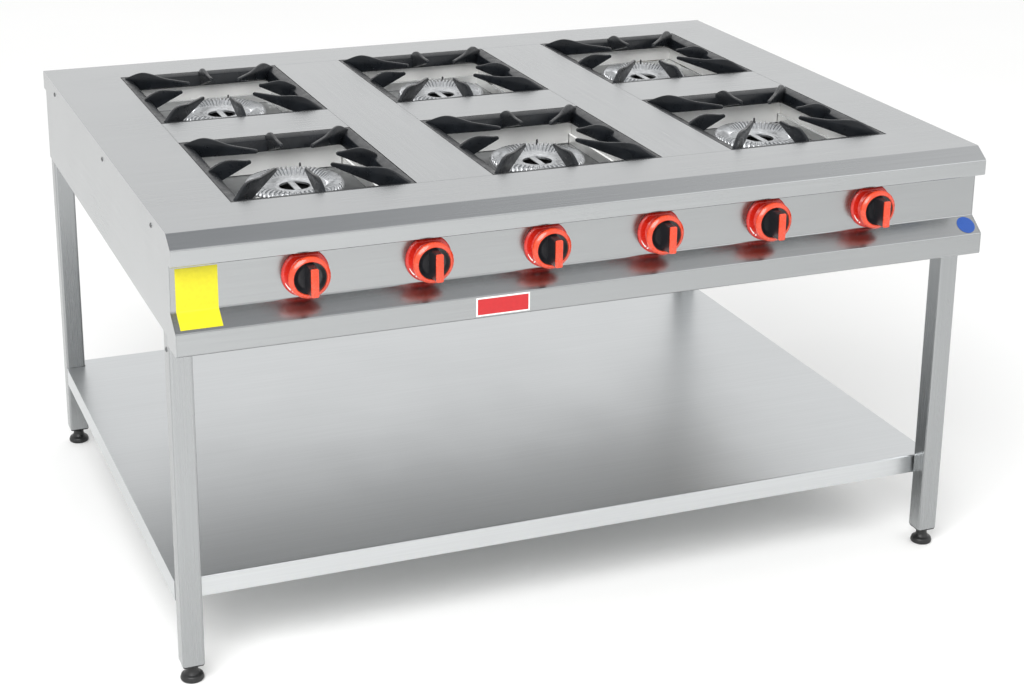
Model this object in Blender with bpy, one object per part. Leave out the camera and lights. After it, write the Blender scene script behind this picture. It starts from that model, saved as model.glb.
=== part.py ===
"""Six-burner gas range on an open stand with a lower shelf.

The frame is metres, +Z up, front at -Y, with the origin on the floor below the centre of the
range's box. Every sub-part is one object. Distances behind the deck's nose go through back(),
and distances below the worktop go through down().
"""

import math

import bmesh
import bpy
from mathutils import Matrix, Vector

# ---- overall ----
DECK_WIDTH = 1.560
DECK_DEPTH = 1.210
WORKTOP_HEIGHT = 0.850
SHEET = 0.0015            # stainless sheet of the casing
GAP = 0.0003              # air between two pieces that touch
SEAM = 0.0006             # open seam round a strip of the deck

# ---- grates and the openings they sit in ----
COLUMNS = 3
ROWS = 2
GRATE_SHIFT = 0.010       # how far the grates stand to the right of the deck's middle
GRATE_WIDTH = 0.334
GRATE_DEPTH = 0.394
GRATE_CLEARANCE = 0.001
DIVIDER_WIDTH = 0.144     # strip between two columns
BRIDGE_DEPTH = 0.144      # strip between the front and the rear grate
FRONT_STRIP = 0.158       # nose to the front grates' opening
LEDGE_DROP = 0.010
LEDGE_WIDTH = 0.009
SKIRT_DEPTH = 0.058       # how far the walls of the burner wells hang down
RIM_WIDTH = 0.020
RIM_DISH = 0.004          # how far the rim falls towards the funnel
FUNNEL_RUN = 0.007
FUNNEL_DROP = 0.025
FUNNEL_WALL = 0.0055
FIN_THICKNESS = 0.0090
FIN_DRAFT = 0.0032        # how much thinner a fin is at its top
FIN_RISE = 0.0125         # height of a fin's tip above the deck
HUMP_RISE = 0.0035        # how far the hump stands above the tip
FIN_START = 0.006         # grate's edge to where a fin leaves the rim
HUMP_RUN = 0.040          # start of a fin to the top of its hump
FALL_RUN = 0.042          # top of the hump to the level run
FIN_CIRCLE = 0.080        # radius of the open circle between the fin tips
FIN_TIP_DEPTH = 0.0075

# ---- front ----
BEND = 0.0035             # outer radius of the bends in the casing
CHAMFER_RUN = 0.030
CHAMFER_DROP = 0.021
NOSE_DROP = 0.051
PANEL_SETBACK = 0.028
PANEL_TOP_DROP = 0.006    # the panel's hidden top flange
PANEL_DROP = 0.137
SLOPE_REACH = 0.006       # how far the apron stands in front of the nose
APRON_TOP_DROP = 0.164
APRON_DROP = 0.205
PANEL_RETURN = 0.022
PANEL_FLANGE = 0.016
FLANGE_DEPTH = 0.038      # turned-down side and rear edges of the deck
REAR_OVERHANG = 0.012
SIDE_DROP = 0.188

# ---- stand ----
TUBE = 0.040
TUBE_WALL = 0.0015
TUBE_CORNER = 0.004
LEG_SETBACK = 0.058       # nose to the front legs
FOOT_HEIGHT = 0.035
FOOT_RADIUS = 0.0215
FOOT_DISC = 0.012
STEM_RADIUS = 0.006
STEM_CLEARANCE = 0.0004
STEM_LENGTH = 0.050
PLUG_FLANGE = 0.0025
PLUG_DEPTH = 0.022
SHELF_HEIGHT = 0.184
SHELF_FLANGE = 0.038
SHELF_LIP = 0.015
SHELF_SETBACK = 0.004     # rear face of the front legs to the shelf's front
LEG_CLEARANCE = 0.001

# ---- controls ----
KNOB_PITCH = 0.219
KNOB_DROP = 0.094
DIAL_RADIUS = 0.042
DIAL_FLAT = 0.035         # height of the dial plate's flat top above its centre
DIAL_THICKNESS = 0.006
DIAL_COLLAR_RADIUS = 0.027
DIAL_COLLAR = 0.005
KNOB_TRAVEL = 0.004
KNOB_RADIUS = 0.036
KNOB_SKIRT = 0.012
KNOB_FACE_RADIUS = 0.0285
KNOB_NOSE = 0.008         # skirt's widest line to its front edge
KNOB_BAR_REACH = 0.027    # front edge to the pointer bar's front
KNOB_BAR_WIDTH = 0.0135
KNOB_BAR_LENGTH = 0.050
KNOB_BAR_CORNER = 0.0030
KNOB_DISH = 0.005
SPINDLE_RADIUS = 0.004
SPINDLE_FLAT = 0.0025     # spindle axis to the flat of the D
SPINDLE_CLEARANCE = 0.0003
PANEL_HOLE_RADIUS = 0.0095
SPINDLE_IN_KNOB = 0.022
SPINDLE_IN_VALVE = 0.018

# ---- gas ----
RAIL_RADIUS = 0.0135
RAIL_SETBACK = 0.094      # nose to the gas rail's axis
RAIL_BEHIND_KNOB = 0.016  # rail's axis below the knobs' axis
VALVE_RADIUS = 0.013
VALVE_STEM_RADIUS = 0.0085
VALVE_SETBACK = 0.004     # rear face of the panel to the valve's front
PIPE_RADIUS = 0.005
INLET_INSET = 0.086       # side of the deck to the inlet pipe's axis
INLET_NUT_RADIUS = 0.018
INLET_HOLE_RADIUS = 0.022

# ---- burners ----
CROWN_DROP = 0.032
CROWN_RADIUS = 0.092
CROWN_CREST_OUT = 0.084
CROWN_CREST_IN = 0.071
CROWN_FOOT = 0.052
CROWN_HOLE = 0.028
CROWN_WEB = 0.012
CROWN_TEETH = 48
TOOTH_DEPTH = 0.0040
CROWN_PLATE_DROP = 0.0105  # crest to the plate round the centre hole
CROWN_THICKNESS = 0.016
CROWN_SIDES = 24
BOWL_RADIUS = 0.066
BOWL_WALL = 0.004
BOWL_DEPTH = 0.078
BOWL_LIP = 0.008
BOWL_SIDES = 20
BOWL_FOOT_RADIUS = 0.030
VENTURI_RADIUS = 0.019
VENTURI_THROAT = 0.013
VENTURI_LENGTH = 0.125
TRAY_DEPTH = 0.020
TRAY_CLEARANCE = 0.004
TRAY_HOLE_RADIUS = 0.073
TRAY_COLLAR = 0.0070
BRIDGE_TRAY_GAP = 0.0012  # bottom edge of a bridge to the tray it stands over
CROSSBAR_WIDTH = 0.030
CROSSBAR_HEIGHT = 0.016

# ---- worked out ----
KNOB_REAR = DIAL_THICKNESS + DIAL_COLLAR + KNOB_TRAVEL     # panel face to the knob's rear
KNOB_REACH_IN = KNOB_REAR + SPINDLE_IN_KNOB - KNOB_TRAVEL  # panel face to the spindle's end
KNOB_FRONT = KNOB_REAR + KNOB_SKIRT + KNOB_NOSE + KNOB_BAR_REACH
KNOB_PROUD = KNOB_FRONT - PANEL_SETBACK
NOSE_Y = (KNOB_PROUD - DECK_DEPTH) / 2
HALF_WIDTH = DECK_WIDTH / 2
OPENING_WIDTH = GRATE_WIDTH + 2 * GRATE_CLEARANCE
OPENING_DEPTH = GRATE_DEPTH + 2 * GRATE_CLEARANCE
COLUMN_PITCH = OPENING_WIDTH + DIVIDER_WIDTH
ROW_PITCH = OPENING_DEPTH + BRIDGE_DEPTH
WELL_HALF_X = (COLUMNS * OPENING_WIDTH + (COLUMNS - 1) * DIVIDER_WIDTH) / 2
WELL_HALF_Y = (ROWS * OPENING_DEPTH + (ROWS - 1) * BRIDGE_DEPTH) / 2
WELL_CENTRE = FRONT_STRIP + WELL_HALF_Y
PANEL_INSET = SHEET + GAP
LEG_INSET = 2 * PANEL_INSET
TRAY_HALF_X = OPENING_WIDTH / 2 - LEDGE_WIDTH - SHEET - TRAY_CLEARANCE
TRAY_HALF_Y = WELL_HALF_Y - LEDGE_WIDTH - SHEET - TRAY_CLEARANCE
TRAY_FLOOR_DROP = SKIRT_DEPTH + GAP + TRAY_DEPTH
CROSSBAR_DROP = TRAY_FLOOR_DROP + GAP


def back(distance):
    """World Y of a point this far behind the deck's nose."""
    return NOSE_Y + distance


def down(distance):
    """World Z of a point this far below the worktop."""
    return WORKTOP_HEIGHT - distance


def column_x(column):
    return GRATE_SHIFT + (column - (COLUMNS - 1) / 2) * COLUMN_PITCH


def row_y(row):
    return back(FRONT_STRIP + OPENING_DEPTH / 2 + row * ROW_PITCH)


def knob_x(index):
    return (index - (ROWS * COLUMNS - 1) / 2) * KNOB_PITCH


# ---- small modelling kit ----

def clear_scene():
    for obj in list(bpy.data.objects):
        bpy.data.objects.remove(obj, do_unlink=True)


def make_material(name, colour, roughness, metallic):
    material = bpy.data.materials.new(name)
    material.use_nodes = True
    shader = material.node_tree.nodes["Principled BSDF"]
    shader.inputs["Base Color"].default_value = (*colour, 1.0)
    shader.inputs["Roughness"].default_value = roughness
    shader.inputs["Metallic"].default_value = metallic
    return material


def to_object(name, bm, material, smooth_angle=None):
    """Turns a bmesh into a scene object with outward faces."""
    bmesh.ops.remove_doubles(bm, verts=bm.verts, dist=1e-6)
    bmesh.ops.recalc_face_normals(bm, faces=bm.faces)
    mesh = bpy.data.meshes.new(name)
    bm.to_mesh(mesh)
    bm.free()
    if smooth_angle is not None:
        mesh.shade_smooth()
        mesh.set_sharp_from_angle(angle=math.radians(smooth_angle))
    obj = bpy.data.objects.new(name, mesh)
    bpy.context.scene.collection.objects.link(obj)
    if material is not None:
        mesh.materials.append(material)
    return obj


def copy_of(source, name, location):
    """Another object that shares the source's mesh."""
    obj = bpy.data.objects.new(name, source.data)
    obj.location = location
    bpy.context.scene.collection.objects.link(obj)
    return obj


def combine(target, other, operation):
    """Applies one Boolean of two objects to the target, and removes the other."""
    modifier = target.modifiers.new(operation.lower(), "BOOLEAN")
    modifier.operation = operation
    modifier.solver = "EXACT"
    modifier.object = other
    graph = bpy.context.evaluated_depsgraph_get()
    result = bpy.data.meshes.new_from_object(target.evaluated_get(graph))
    target.modifiers.clear()
    target.data = result
    bpy.data.objects.remove(other, do_unlink=True)
    return target


def bent(points, radius, steps=3):
    """A path of (a, b) points with each inner corner rounded to a bend radius."""
    result = [tuple(points[0])]
    for before, point, after in zip(points, points[1:], points[2:]):
        near = (Vector(before) - Vector(point)).normalized()
        far = (Vector(after) - Vector(point)).normalized()
        half = near.angle(far) / 2
        reach = radius / math.tan(half)
        centre = Vector(point) + (near + far).normalized() * (radius / math.sin(half))
        start = Vector(point) + near * reach - centre
        sweep = math.copysign(math.pi - 2 * half, near.angle_signed(far))
        for step in range(steps + 1):
            angle = sweep * step / steps
            result.append(tuple(centre + Vector((
                start.x * math.cos(angle) - start.y * math.sin(angle),
                start.x * math.sin(angle) + start.y * math.cos(angle)))))
    result.append(tuple(points[-1]))
    return result


def prism(bm, outline, place, start, end):
    """Extrudes a closed outline; place(a, b, t) gives the 3-D point of outline point (a, b) at t."""
    ring = [bm.verts.new(place(a, b, start)) for a, b in outline]
    face = bm.faces.new(ring)
    moved = bmesh.ops.extrude_face_region(bm, geom=[face])["geom"]
    shift = Vector(place(0, 0, end)) - Vector(place(0, 0, start))
    verts = [item for item in moved if isinstance(item, bmesh.types.BMVert)]
    bmesh.ops.translate(bm, verts=verts, vec=shift)


def along_x(a, b, t):
    return (t, a, b)


def along_y(a, b, t):
    return (a, t, b)


def along_z(a, b, t):
    return (a, b, t)


def prism_object(name, outline, place, start, end, material=None):
    bm = bmesh.new()
    prism(bm, outline, place, start, end)
    return to_object(name, bm, material)


def box_outline(low_a, low_b, high_a, high_b):
    return [(low_a, low_b), (high_a, low_b), (high_a, high_b), (low_a, high_b)]


def box_object(name, low, high, material=None):
    outline = box_outline(low[0], low[1], high[0], high[1])
    return prism_object(name, outline, along_z, low[2], high[2], material)


def circle_outline(radius, count, centre=(0.0, 0.0)):
    steps = [2 * math.pi * i / count for i in range(count)]
    return [(centre[0] + radius * math.cos(s), centre[1] + radius * math.sin(s)) for s in steps]


def sheet_outline(path, thickness):
    """Closed section of a bent sheet: the path is one face, and the other lies to its left."""
    points = [Vector(p) for p in path]
    offset = []
    for i, point in enumerate(points):
        sides = []
        if i > 0:
            sides.append((point - points[i - 1]).normalized())
        if i < len(points) - 1:
            sides.append((points[i + 1] - point).normalized())
        normals = [Vector((-side.y, side.x)) for side in sides]
        middle = sum(normals, Vector((0.0, 0.0))).normalized()
        offset.append(point + middle * (thickness / middle.dot(normals[0])))
    return [tuple(p) for p in points] + [tuple(p) for p in reversed(offset)]


def frame_ring(bm, section, half_x, half_y, centre, top):
    """Carries a section round a rectangle; its points are (inward distance, height from top)."""
    corners = [(-1, -1), (1, -1), (1, 1), (-1, 1)]
    rings = []
    for sx, sy in corners:
        rings.append([
            bm.verts.new((centre[0] + sx * (half_x - inward),
                          centre[1] + sy * (half_y - inward), top + height))
            for inward, height in section
        ])
    for k in range(4):
        near, far = rings[k], rings[(k + 1) % 4]
        for i in range(len(section)):
            j = (i + 1) % len(section)
            bm.faces.new((near[i], far[i], far[j], near[j]))


def turned(bm, profile, count, place=lambda r, h, s: (r * math.cos(s), r * math.sin(s), h)):
    """Spins a profile of (radius, height) points; a zero radius closes on the axis."""
    rings = []
    for radius, height in profile:
        if radius == 0:
            rings.append([bm.verts.new(place(0.0, height, 0.0))])
            continue
        steps = [2 * math.pi * i / count for i in range(count)]
        rings.append([bm.verts.new(place(radius, height, s)) for s in steps])
    for near, far in zip(rings, rings[1:]):
        bridge(bm, near, far, count)
    if len(rings[0]) > 1 and len(rings[-1]) > 1:
        bridge(bm, rings[-1], rings[0], count)


def bridge(bm, near, far, count):
    """Faces between two rings, either of which may be one point on the axis."""
    for i in range(count):
        j = (i + 1) % count
        loop = [near[i % len(near)], near[j % len(near)], far[j % len(far)], far[i % len(far)]]
        unique = []
        for vert in loop:
            if vert not in unique:
                unique.append(vert)
        if len(unique) > 2:
            bm.faces.new(unique)


def facing_front(radius, height, s):
    """Turned about Y, with height towards the front."""
    return (radius * math.cos(s), -height, radius * math.sin(s))


def turned_object(name, profile, count, material=None, place=None, smooth_angle=35):
    bm = bmesh.new()
    if place is None:
        turned(bm, profile, count)
    else:
        turned(bm, profile, count, place)
    return to_object(name, bm, material, smooth_angle)


def tube_path(bm, path, radius, count):
    """Round bar along a list of points, with a ring at each and flat ends."""
    points = [Vector(p) for p in path]
    rings = []
    for i, point in enumerate(points):
        ahead = points[min(i + 1, len(points) - 1)] - points[max(i - 1, 0)]
        turn = ahead.to_track_quat("Z", "X")
        steps = [2 * math.pi * k / count for k in range(count)]
        rings.append([
            bm.verts.new(point + turn @ Vector((radius * math.cos(s), radius * math.sin(s), 0)))
            for s in steps
        ])
    for near, far in zip(rings, rings[1:]):
        bridge(bm, near, far, count)
    bm.faces.new(rings[0])
    bm.faces.new(rings[-1])


# ---- casing ----

def deck_section(inset):
    """Side outline of the deck, moved inwards by inset: flat top, chamfer, nose and rear edge."""
    chamfer_angle = math.atan2(CHAMFER_DROP, CHAMFER_RUN)
    shallow = inset * math.tan(chamfer_angle / 2)
    steep = inset * math.tan((math.pi / 2 - chamfer_angle) / 2)
    lip = back(PANEL_SETBACK - GAP)
    open_end = down(NOSE_DROP + 0.01) if inset else down(FLANGE_DEPTH)
    folded = [
        (back(DECK_DEPTH - inset), open_end),
        (back(DECK_DEPTH - inset), down(inset)),
        (back(CHAMFER_RUN + shallow), down(inset)),
        (back(inset), down(CHAMFER_DROP + steep)),
        (back(inset), down(NOSE_DROP - inset)),
        (lip, down(NOSE_DROP - inset)),
    ]
    return bent(folded, BEND - inset) + [(lip, open_end)]


def well_wall_section():
    """Ledge that carries a grate, and the wall that hangs from it, seen from the deck's edge."""
    inner = LEDGE_WIDTH + SHEET
    return [
        (-SHEET, -SHEET / 2),
        (0.0, -SHEET / 2),
        (0.0, -LEDGE_DROP),
        (inner, -LEDGE_DROP),
        (inner, -SKIRT_DEPTH),
        (inner - SHEET, -SKIRT_DEPTH),
        (inner - SHEET, -LEDGE_DROP - SHEET),
        (-SHEET, -LEDGE_DROP - SHEET),
    ]


def build_deck_top(steel):
    """Pressed deck: top, chamfered nose, turned-down edges, and one opening with a hung wall."""
    deck = prism_object("deck_top", deck_section(0.0), along_x, -HALF_WIDTH, HALF_WIDTH, steel)
    hollow = prism_object("hollow", deck_section(SHEET), along_x,
                          -HALF_WIDTH + SHEET, HALF_WIDTH - SHEET)
    combine(deck, hollow, "DIFFERENCE")
    centre = (GRATE_SHIFT, back(WELL_CENTRE))
    opening = box_object("opening",
                         (centre[0] - WELL_HALF_X, centre[1] - WELL_HALF_Y, down(0.02)),
                         (centre[0] + WELL_HALF_X, centre[1] + WELL_HALF_Y, down(-0.02)))
    combine(deck, opening, "DIFFERENCE")
    bm = bmesh.new()
    frame_ring(bm, well_wall_section(), WELL_HALF_X, WELL_HALF_Y, centre, WORKTOP_HEIGHT)
    wall = to_object("well_wall", bm, None)
    return combine(deck, wall, "UNION")


def divider_half_outline():
    """Right half of a column divider's cross-section: top, step, ledge and hung wall."""
    half = DIVIDER_WIDTH / 2
    ledge = half + LEDGE_WIDTH + SHEET
    return [
        (0.0, down(0.0)),
        (half, down(0.0)),
        (half, down(LEDGE_DROP)),
        (ledge, down(LEDGE_DROP)),
        (ledge, down(SKIRT_DEPTH)),
    ]


def build_divider(index, steel):
    """Strip between two columns of grates, dropped into the deck's opening."""
    right = divider_half_outline()
    path = [(-a, b) for a, b in reversed(right[1:])] + right[1:]
    outline = sheet_outline([(a, b) for a, b in reversed(path)], SHEET)
    end = LEDGE_WIDTH + SHEET + GAP
    middle = back(WELL_CENTRE)
    divider = prism_object(f"deck_divider_{index + 1}", outline, along_y,
                           middle - WELL_HALF_Y + end, middle + WELL_HALF_Y - end, steel)
    half = DIVIDER_WIDTH / 2
    tongue = box_object("tongue",
                        (-half, middle - WELL_HALF_Y + SEAM, down(SHEET)),
                        (half, middle + WELL_HALF_Y - SEAM, down(0.0)))
    combine(divider, tongue, "UNION")
    divider.location.x = column_x(index) + COLUMN_PITCH / 2
    return divider


def build_bridge(column, steel):
    """Strip between the front and the rear grate; its deep edges close the two wells."""
    half = BRIDGE_DEPTH / 2
    middle = back(WELL_CENTRE)
    wide = OPENING_WIDTH / 2 - SEAM
    cover = box_outline(middle - half + SEAM, down(SHEET), middle + half - SEAM, down(0.0))
    strip = prism_object(f"grate_bridge_{column + 1}", cover, along_x, -wide, wide, steel)
    inner = OPENING_WIDTH / 2 - LEDGE_WIDTH - SHEET - GAP
    combine(strip, bridge_flanges(middle, half, inner, SKIRT_DEPTH - SHEET), "UNION")
    deep = TRAY_FLOOR_DROP - SHEET - BRIDGE_TRAY_GAP
    narrow = TRAY_HALF_X - SHEET - BRIDGE_TRAY_GAP
    combine(strip, bridge_flanges(middle, half, narrow, deep), "UNION")
    strip.location.x = column_x(column)
    return strip


def bridge_flanges(middle, half, reach, deep):
    """The bent channel under a bridge's strip, its two walls hanging this deep."""
    path = [(middle + half - SEAM, down(deep)), (middle + half - SEAM, down(0.0)),
            (middle - half + SEAM, down(0.0)), (middle - half + SEAM, down(deep))]
    return prism_object("flanges", sheet_outline(path, SHEET), along_x, -reach, reach)


def panel_path():
    """Front face of the control panel from its top flange to the lip under the apron."""
    return [
        (back(PANEL_SETBACK + PANEL_FLANGE), down(PANEL_TOP_DROP)),
        (back(PANEL_SETBACK), down(PANEL_TOP_DROP)),
        (back(PANEL_SETBACK), down(PANEL_DROP)),
        (back(-SLOPE_REACH), down(APRON_TOP_DROP)),
        (back(-SLOPE_REACH), down(APRON_DROP)),
        (back(PANEL_RETURN - SLOPE_REACH), down(APRON_DROP)),
    ]


def build_control_panel(steel):
    """Bent panel with its sloped drip ledge and apron, and a hole for each spindle."""
    reach = HALF_WIDTH - PANEL_INSET - SHEET - GAP
    outline = sheet_outline(bent(panel_path(), BEND), SHEET)
    panel = prism_object("control_panel", outline, along_x, -reach, reach, steel)
    for index in range(ROWS * COLUMNS):
        hole = circle_outline(PANEL_HOLE_RADIUS, 16, (knob_x(index), down(KNOB_DROP)))
        cutter = prism_object("hole", hole, along_y, back(0.0), back(2 * PANEL_SETBACK))
        combine(panel, cutter, "DIFFERENCE")
    return panel


def build_side_panel(name, side, steel):
    """Flat side sheet behind the deck's edge; its front end closes the panel and the apron."""
    top = down(SHEET + GAP)
    rear = back(DECK_DEPTH - REAR_OVERHANG)
    front = bent([
        (back(PANEL_SETBACK), down(NOSE_DROP + GAP)),
        (back(PANEL_SETBACK), down(PANEL_DROP)),
        (back(-SLOPE_REACH), down(APRON_TOP_DROP)),
        (back(-SLOPE_REACH), down(APRON_DROP)),
        (back(LEG_SETBACK - GAP), down(APRON_DROP)),
    ], BEND)
    outline = [(rear, down(SIDE_DROP)), (rear, top), (back(CHAMFER_RUN + BEND), top)]
    outline += front + [(back(LEG_SETBACK - GAP), down(SIDE_DROP))]
    outer = side * (HALF_WIDTH - PANEL_INSET)
    inner = outer - side * SHEET
    return prism_object(name, outline, along_x, inner, outer, steel)


def build_back_panel(steel):
    """Rear sheet between the side panels, with the hole that the gas inlet passes."""
    outer = back(DECK_DEPTH - REAR_OVERHANG)
    reach = HALF_WIDTH - PANEL_INSET - SHEET - GAP
    lip = 0.014
    path = [(outer - SHEET - lip, down(SIDE_DROP)), (outer, down(SIDE_DROP)),
            (outer, down(SHEET + GAP))]
    panel = prism_object("back_panel", sheet_outline(path, SHEET), along_x, -reach, reach, steel)
    for side in (-1, 1):
        x = side * (HALF_WIDTH - LEG_INSET - TUBE / 2)
        half = TUBE / 2 + LEG_CLEARANCE
        notch = box_object("notch", (x - half, outer - 0.05, down(SIDE_DROP + 0.01)),
                           (x + half, outer - SHEET - GAP / 3, down(SIDE_DROP - 0.01)))
        combine(panel, notch, "DIFFERENCE")
    hole = circle_outline(INLET_HOLE_RADIUS, 16, (HALF_WIDTH - INLET_INSET, inlet_z()))
    cutter = prism_object("hole", hole, along_y, outer - 0.01, outer + 0.01)
    return combine(panel, cutter, "DIFFERENCE")


# ---- stand ----

def leg_centres():
    """Name and axis of each leg, front legs first."""
    x = HALF_WIDTH - LEG_INSET - TUBE / 2
    front = back(LEG_SETBACK + TUBE / 2)
    rear = back(DECK_DEPTH - REAR_OVERHANG - SHEET - GAP - TUBE / 2)
    return [
        ("front_left", -x, front),
        ("front_right", x, front),
        ("rear_left", -x, rear),
        ("rear_right", x, rear),
    ]


def rounded_square(side, corner):
    """Outline of a square tube, with two points on each rounded corner's arc."""
    half = side / 2
    points = []
    for quarter in range(4):
        middle = math.pi / 4 + quarter * math.pi / 2
        centre_x = math.copysign(half - corner, math.cos(middle))
        centre_y = math.copysign(half - corner, math.sin(middle))
        for step in (-1, 0, 1):
            angle = middle + step * math.pi / 4
            points.append((centre_x + corner * math.cos(angle),
                           centre_y + corner * math.sin(angle)))
    return points


def build_legs(steel):
    """Square tubes with the end plug pressed in at the bottom, bored for the foot's stem."""
    top = down(SKIRT_DEPTH + 0.02)
    tube = prism_object("leg", rounded_square(TUBE, TUBE_CORNER), along_z,
                        FOOT_HEIGHT, top, steel)
    inner = TUBE - 2 * TUBE_WALL
    bore = prism_object("bore", rounded_square(inner, TUBE_CORNER - TUBE_WALL), along_z,
                        FOOT_HEIGHT + PLUG_DEPTH, top + 0.01)
    combine(tube, bore, "DIFFERENCE")
    stem_hole = prism_object("stem_hole", circle_outline(STEM_RADIUS + STEM_CLEARANCE, 12),
                             along_z, FOOT_HEIGHT - 0.01, FOOT_HEIGHT + PLUG_DEPTH + 0.01)
    combine(tube, stem_hole, "DIFFERENCE")
    for name, x, y in leg_centres():
        copy_of(tube, f"leg_{name}", (x, y, 0.0))
    bpy.data.objects.remove(tube, do_unlink=True)


def build_feet(plastic):
    """Round levelling feet: a wide disc, a waist and the stem that screws into the plug."""
    profile = [
        (0.0, 0.0),
        (FOOT_RADIUS * 0.92, 0.0),
        (FOOT_RADIUS, FOOT_DISC * 0.35),
        (FOOT_RADIUS * 0.86, FOOT_DISC),
        (STEM_RADIUS * 1.7, FOOT_DISC + 0.006),
        (STEM_RADIUS * 1.7, FOOT_HEIGHT - 0.008),
        (STEM_RADIUS, FOOT_HEIGHT - 0.008),
        (STEM_RADIUS, STEM_LENGTH),
        (0.0, STEM_LENGTH),
    ]
    foot = turned_object("foot", profile, 14, plastic)
    for name, x, y in leg_centres():
        copy_of(foot, f"levelling_foot_{name}", (x, y, 0.0))
    bpy.data.objects.remove(foot, do_unlink=True)


def shelf_section(front, rear, inset):
    """Side outline of the shelf, moved inwards by inset, with its two upper bends."""
    low = SHELF_HEIGHT - SHELF_FLANGE + inset
    top = SHELF_HEIGHT - inset
    corners = [(front + inset, low), (front + inset, top), (rear - inset, top),
               (rear - inset, low)]
    return bent(corners, BEND - inset)


def build_shelf(steel):
    """Shelf pan with turned-down edges, notched round the rear legs and set behind the front."""
    legs = leg_centres()
    front = legs[0][2] + TUBE / 2 + SHELF_SETBACK
    rear = legs[2][2] + TUBE / 2
    reach = HALF_WIDTH - LEG_INSET
    top = SHELF_HEIGHT
    shelf = prism_object("lower_shelf", shelf_section(front, rear, 0.0), along_x,
                         -reach, reach, steel)
    hollow = prism_object("hollow", shelf_section(front, rear, SHEET), along_x,
                          -reach + SHEET, reach - SHEET)
    combine(shelf, hollow, "DIFFERENCE")
    mouth = box_object("mouth",
                       (-reach + SHELF_LIP, front + SHELF_LIP, top - SHELF_FLANGE - 0.01),
                       (reach - SHELF_LIP, rear - SHELF_LIP, top - SHEET - 0.005))
    combine(shelf, mouth, "DIFFERENCE")
    half = TUBE / 2 + LEG_CLEARANCE
    for _, x, y in legs[2:]:
        outside = math.copysign(0.02, x)
        low_x = min(x - math.copysign(half, x), x + outside + math.copysign(half, x))
        high_x = max(x - math.copysign(half, x), x + outside + math.copysign(half, x))
        notch = box_object("notch", (low_x, y - half, top - SHELF_FLANGE - 0.01),
                           (high_x, y + half + 0.02, top + 0.01))
        combine(shelf, notch, "DIFFERENCE")
    return shelf


# ---- grates ----

def grate_section():
    """Cast frame of a grate: dished rim on the ledge, then a wall that leans in and down."""
    rim = LEDGE_DROP - GAP
    foot = RIM_WIDTH + FUNNEL_RUN
    return [
        (0.0, 0.0),
        (RIM_WIDTH, -RIM_DISH),
        (foot, -FUNNEL_DROP),
        (foot - FUNNEL_WALL, -FUNNEL_DROP),
        (LEDGE_WIDTH + SHEET + 0.0015, -rim),
        (0.0, -rim),
    ]


def fin_outline(root, tip, slant):
    """Side view of one fin: (distance from the grate's centre, height above the deck).

    It leaves the rim, climbs over a hump and falls to the tip. Its lower edge runs straight to
    the funnel's foot. slant stretches the frame's widths along a diagonal fin, whose hump is
    also higher.
    """
    hump = FIN_RISE + HUMP_RISE * slant ** 1.5
    start = root - FIN_START * slant
    crest = start - HUMP_RUN * slant
    foot = root - (RIM_WIDTH + FUNNEL_RUN - FUNNEL_WALL / 2) * slant
    points = [(start - 0.001, -RIM_DISH)]
    for step in range(1, 6):
        turn = math.pi / 2 * step / 5
        points.append((start + (crest - start) * step / 5, hump * math.sin(turn) ** slant))
    for step in range(1, 4):
        fallen = (1 - math.cos(math.pi * step / 4)) / 2
        points.append((crest - FALL_RUN * slant * step / 4, hump + (FIN_RISE - hump) * fallen))
    nose = FIN_TIP_DEPTH / 2
    for step in range(4):
        angle = math.pi / 2 + math.pi * step / 3
        points.append((tip + nose + nose * math.cos(angle),
                       FIN_RISE - nose + nose * math.sin(angle)))
    points.append((foot, -FUNNEL_DROP + 0.001))
    points.append((root - (LEDGE_WIDTH + SHEET + 0.003) * slant, -LEDGE_DROP * 0.75))
    return points


def add_fin(bm, direction, root, tip, slant):
    """One fin, thinner at its top, standing along the direction from the centre."""
    outline = fin_outline(root, tip, slant)
    across = Vector((-direction.y, direction.x, 0.0))
    lowest = -FUNNEL_DROP
    highest = FIN_RISE + HUMP_RISE * slant ** 1.5
    sides = []
    for side in (-1, 1):
        ring = []
        for distance, height in outline:
            share = (height - lowest) / (highest - lowest)
            half = (FIN_THICKNESS - FIN_DRAFT * share) / 2
            point = direction * distance + across * (side * half) + Vector((0, 0, height))
            ring.append(bm.verts.new(point))
        bm.faces.new(ring)
        sides.append(ring)
    count = len(outline)
    bridge(bm, sides[0], sides[1], count)


def build_grates(iron):
    """Cast-iron grates: a sunk frame with eight fins, at the corners and the sides' middles."""
    bm = bmesh.new()
    half_x = GRATE_WIDTH / 2
    half_y = GRATE_DEPTH / 2
    frame_ring(bm, grate_section(), half_x, half_y, (0.0, 0.0), 0.0)
    grate = to_object("grate", bm, iron)
    for across in (-1, 0, 1):
        for along in (-1, 0, 1):
            if across == 0 and along == 0:
                continue
            end = Vector((across * half_x, along * half_y, 0.0))
            direction = end.normalized()
            fin = bmesh.new()
            slant = math.sqrt(2) if across and along else 1.0
            add_fin(fin, direction, end.length, FIN_CIRCLE, slant)
            combine(grate, to_object("fin", fin, None), "UNION")
    for row, word in enumerate(("front", "rear")):
        for column in range(COLUMNS):
            copy_of(grate, f"grate_{word}_{column + 1}",
                    (column_x(column), row_y(row), WORKTOP_HEIGHT))
    bpy.data.objects.remove(grate, do_unlink=True)


# ---- burners ----

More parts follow.
